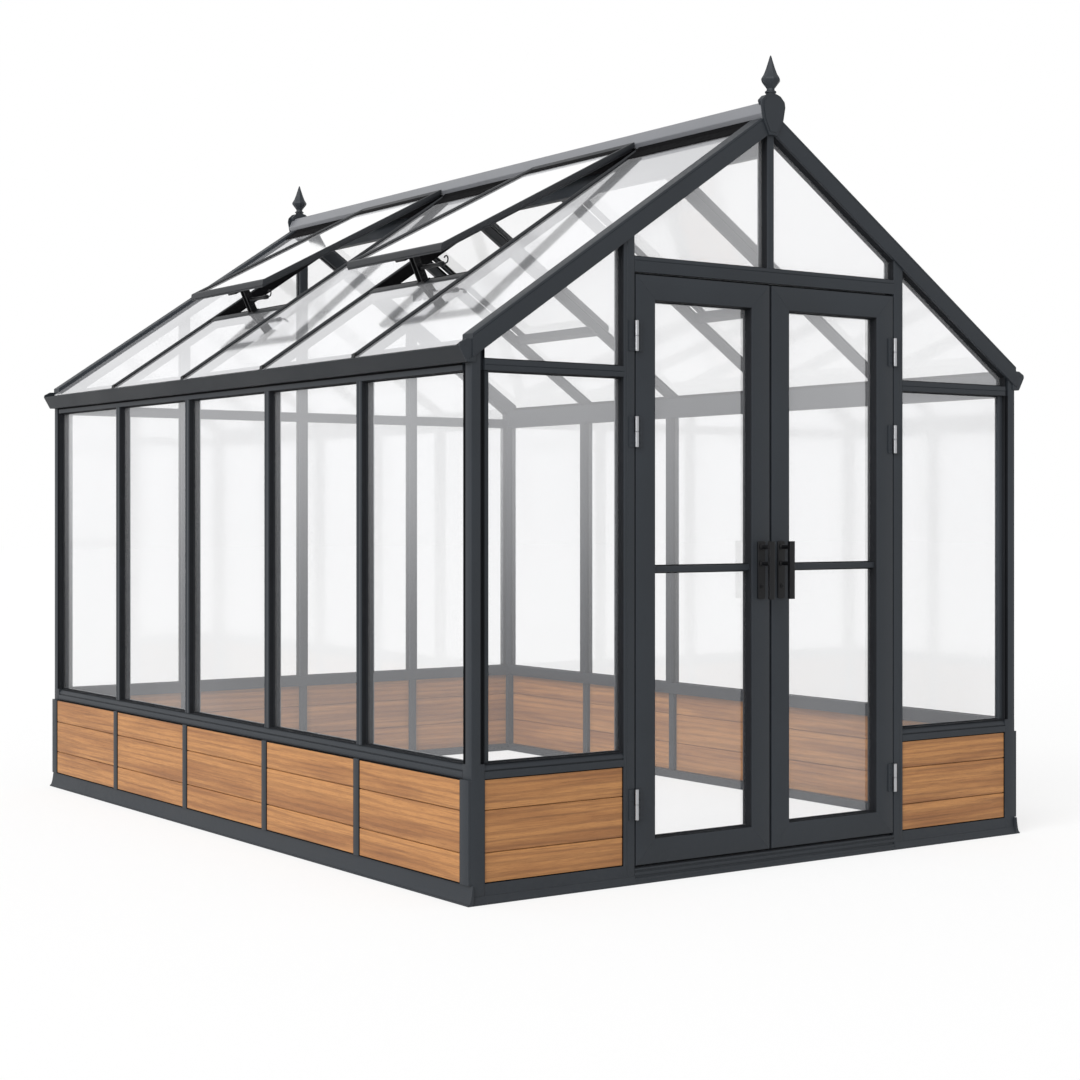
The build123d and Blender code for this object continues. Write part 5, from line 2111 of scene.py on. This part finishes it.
    def _hinge_halves(self, wall: Wall) -> None:
        """Builds the halves of the hinges on the leaf and on the jamb."""
        coats, r, half = self.coats, self.knuckle, self.hinge_length / 2
        line, size = self.side * (self.plan.jamb_in - self.pin_gap), half - 0.3
        profile = [(0, 0), (r - 1, 0), (r, 1.0), (r, size - 1.0), (r - 1, size), (0, size)]
        for owner, tag, way in (
            (self.body, self.name, -self.side), (Body.HOUSE, f"{self.name}_jamb", self.side)
        ):
            barrels, plates, points = Builder(), Builder(), []
            for height in self.hinges:
                start = height - half if owner is Body.HOUSE else height + 0.3
                barrels.turned(profile, wall.point(line, -r, start), UP, sides=24)
                plate = slab(span(way * 8.5, way * 27.5), (height - half, height + half), 3)
                plates.prism(plate, wall.flat(line, 0), wall.flat(line, -3))
                # A black strip beside each knuckle: painted shadow of the knuckle on the plate.
                shadow_strip = slab(span(0.0, way * 10.0), (start + 1, start + size - 1), 0.5)
                plates.prism(shadow_strip, wall.flat(line, -0.2), wall.flat(line, -2.8), finish=1)
                for lift in (-36, -12, 12, 36):
                    points.append((wall.point(line + way * 18, -3, height + lift), TOWARDS_DOORS))
            plates.take(self.repeats.at_points(points, screw_head(3.6, 1.2), coats.frame))
            plates.piece(f"{tag}_hinge_plates", coats.frame, body=owner, second=coats.black)
            nodes = [f"{self.name}_hinges"]
            if owner is Body.HOUSE:
                nodes = ["frame_hinges"] if self.side < 0 else []
            barrels.piece(f"{tag}_hinge_barrels", coats.steel, *nodes, body=owner)


@dataclass
class DoorwaySeals(Assembly):
    """Rubber fins on the jambs, beside the hinge stiles."""

    fin: float = 3.6

    def build(self) -> None:
        """Builds both fins."""
        plan, seals = self.plan, Builder()
        for side in SIDES:
            edges = span(side * (plan.jamb_in + 0.5), side * (plan.jamb_in - self.fin))
            heights = (plan.threshold_top, plan.header_bottom)
            seals.stand(slab(edges, (26, 31), 0.8), plan.gable(-1), 0, heights)
        seals.piece("jamb_fins", self.coats.rubber)


def dress_panes(nodes: dict[str, bpy.types.Object], coats: Finishes) -> None:
    """Gives each packed pane its glass.

    Args:
        nodes: The CAD nodes by name.
        coats: The materials.
    """
    for name, node in nodes.items():
        if "glass" not in name:
            continue
        finish = coats.wall_glass
        if "vent" in name:
            finish = coats.vent_glass
        elif "roof" in name:
            finish = coats.roof_glass
        node.data.materials.clear()
        node.data.materials.append(finish)
        LOG.info("%s: dressed as glass", name)


# ---- Studio ----
@dataclass
class Studio:
    """Pale floor, white surroundings, a soft lamp and the camera."""

    camera_at: Corner = (-4.604, -6.8115, 1.198)
    sensor: float = 36.0
    camera_turn: float = math.radians(-35.254)
    lens: float = 67.146
    rise: float = -0.0237
    floor_half: float = 60.0
    floor_drop: float = 0.001
    floor_colour: Colour = (0.96, 0.96, 0.96, 1.0)
    sky: float = 0.60
    key: float = 2.7
    key_turn: Corner = (58.0, 0.0, -67.0)
    key_spread: float = 45.0
    floor_lift: float = 0.70

    def build(self) -> None:
        """Builds the whole set."""
        self._world()
        self._floor()
        light = bpy.data.lights.new("key_light", "SUN")
        light.energy = self.key
        light.angle = math.radians(self.key_spread)
        lamp = self._place("key_light", light)
        lamp.rotation_euler = [math.radians(a) for a in self.key_turn]
        self._camera()

    @staticmethod
    def _place(name: str, data: bpy.types.ID) -> bpy.types.Object:
        """Puts a mesh, light or camera into the scene."""
        made = bpy.data.objects.new(name, data)
        bpy.context.scene.collection.objects.link(made)
        return made

    @staticmethod
    def _seen(wrap: Tree) -> bpy.types.NodeSocket:
        """1 for rays that show the set itself: from the camera, in gloss and through glass."""
        rays = wrap.add("ShaderNodeLightPath").outputs
        pair = wrap.sum("MAXIMUM", rays["Is Camera Ray"], rays["Is Glossy Ray"])
        return wrap.sum("MAXIMUM", pair, rays["Is Transmission Ray"])

    def _world(self) -> None:
        """White to the eye, a little less as a light."""
        world = bpy.data.worlds.new("studio")
        bpy.context.scene.world = world
        world.use_nodes = True
        wrap = Tree(world.node_tree)
        levels = {"Value": self._seen(wrap), "To Min": self.sky, "To Max": 1.0}
        strength = wrap.add("ShaderNodeMapRange", levels)
        wrap.feed(world.node_tree.nodes["Background"], {"Color": (1, 1, 1, 1), "Strength": strength})

    def _floor(self) -> None:
        """A plain white floor that keeps a soft shadow."""
        mesh, size = bpy.data.meshes.new("floor"), self.floor_half
        corners = [(-size, -size, 0), (size, -size, 0), (size, size, 0), (-size, size, 0)]
        mesh.from_pydata(corners, [], [(0, 1, 2, 3)])
        floor = self._place("floor", mesh)
        floor.location.z = -self.floor_drop
        material, wrap, shader = new_material("studio_floor")
        plain = {"Base Color": self.floor_colour, "Roughness": 0.9, "Specular IOR Level": 0.1}
        wrap.feed(shader, plain)
        glow = wrap.add("ShaderNodeEmission", {"Color": (1, 1, 1, 1), "Strength": 1.0})
        share = wrap.sum("MULTIPLY", self._seen(wrap), self.floor_lift)
        mixed = wrap.add("ShaderNodeMixShader", {0: share, 1: shader, 2: glow})
        wrap.feed(wrap.tree.nodes["Material Output"], {"Surface": mixed})
        mesh.materials.append(material)

    def _camera(self) -> None:
        """Adds the camera, level and looking at the near corner."""
        camera = bpy.data.cameras.new("camera")
        camera.lens = self.lens
        camera.sensor_width = self.sensor
        camera.shift_y = self.rise
        camera.clip_end = 200.0
        view = self._place("camera", camera)
        view.location = self.camera_at
        view.rotation_euler = (math.radians(90), 0, self.camera_turn)
        bpy.context.scene.camera = view
        bpy.context.scene.view_settings.view_transform = "Standard"


def corners(box: tuple[Vector, Vector]) -> list[list[float]]:
    """A box as plain lists of numbers."""
    return [[round(v, 5) for v in corner] for corner in box]


def main() -> None:
    """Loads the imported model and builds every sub-assembly around it."""
    logging.basicConfig(level=logging.INFO, format="%(name)s %(message)s")
    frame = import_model()
    coats = Finishes()
    shop = (Plan.read(), coats, Repeats())
    kinds = (Footing, CornerPosts, LowWall, Sills, WallGlazing, Eaves, Gables, Ridge, RoofBars)
    parts = [kind(*shop) for kind in (*kinds, RoofVents, Finials)]
    parts += [DoorLeaf(*shop, side) for side in SIDES]
    for part in (*parts, DoorwaySeals(*shop), Studio()):
        part.build()
        LOG.info("built %s", type(part).__name__)
    dress_panes(frame["nodes"], coats)


if __name__ == "__main__":
    main()
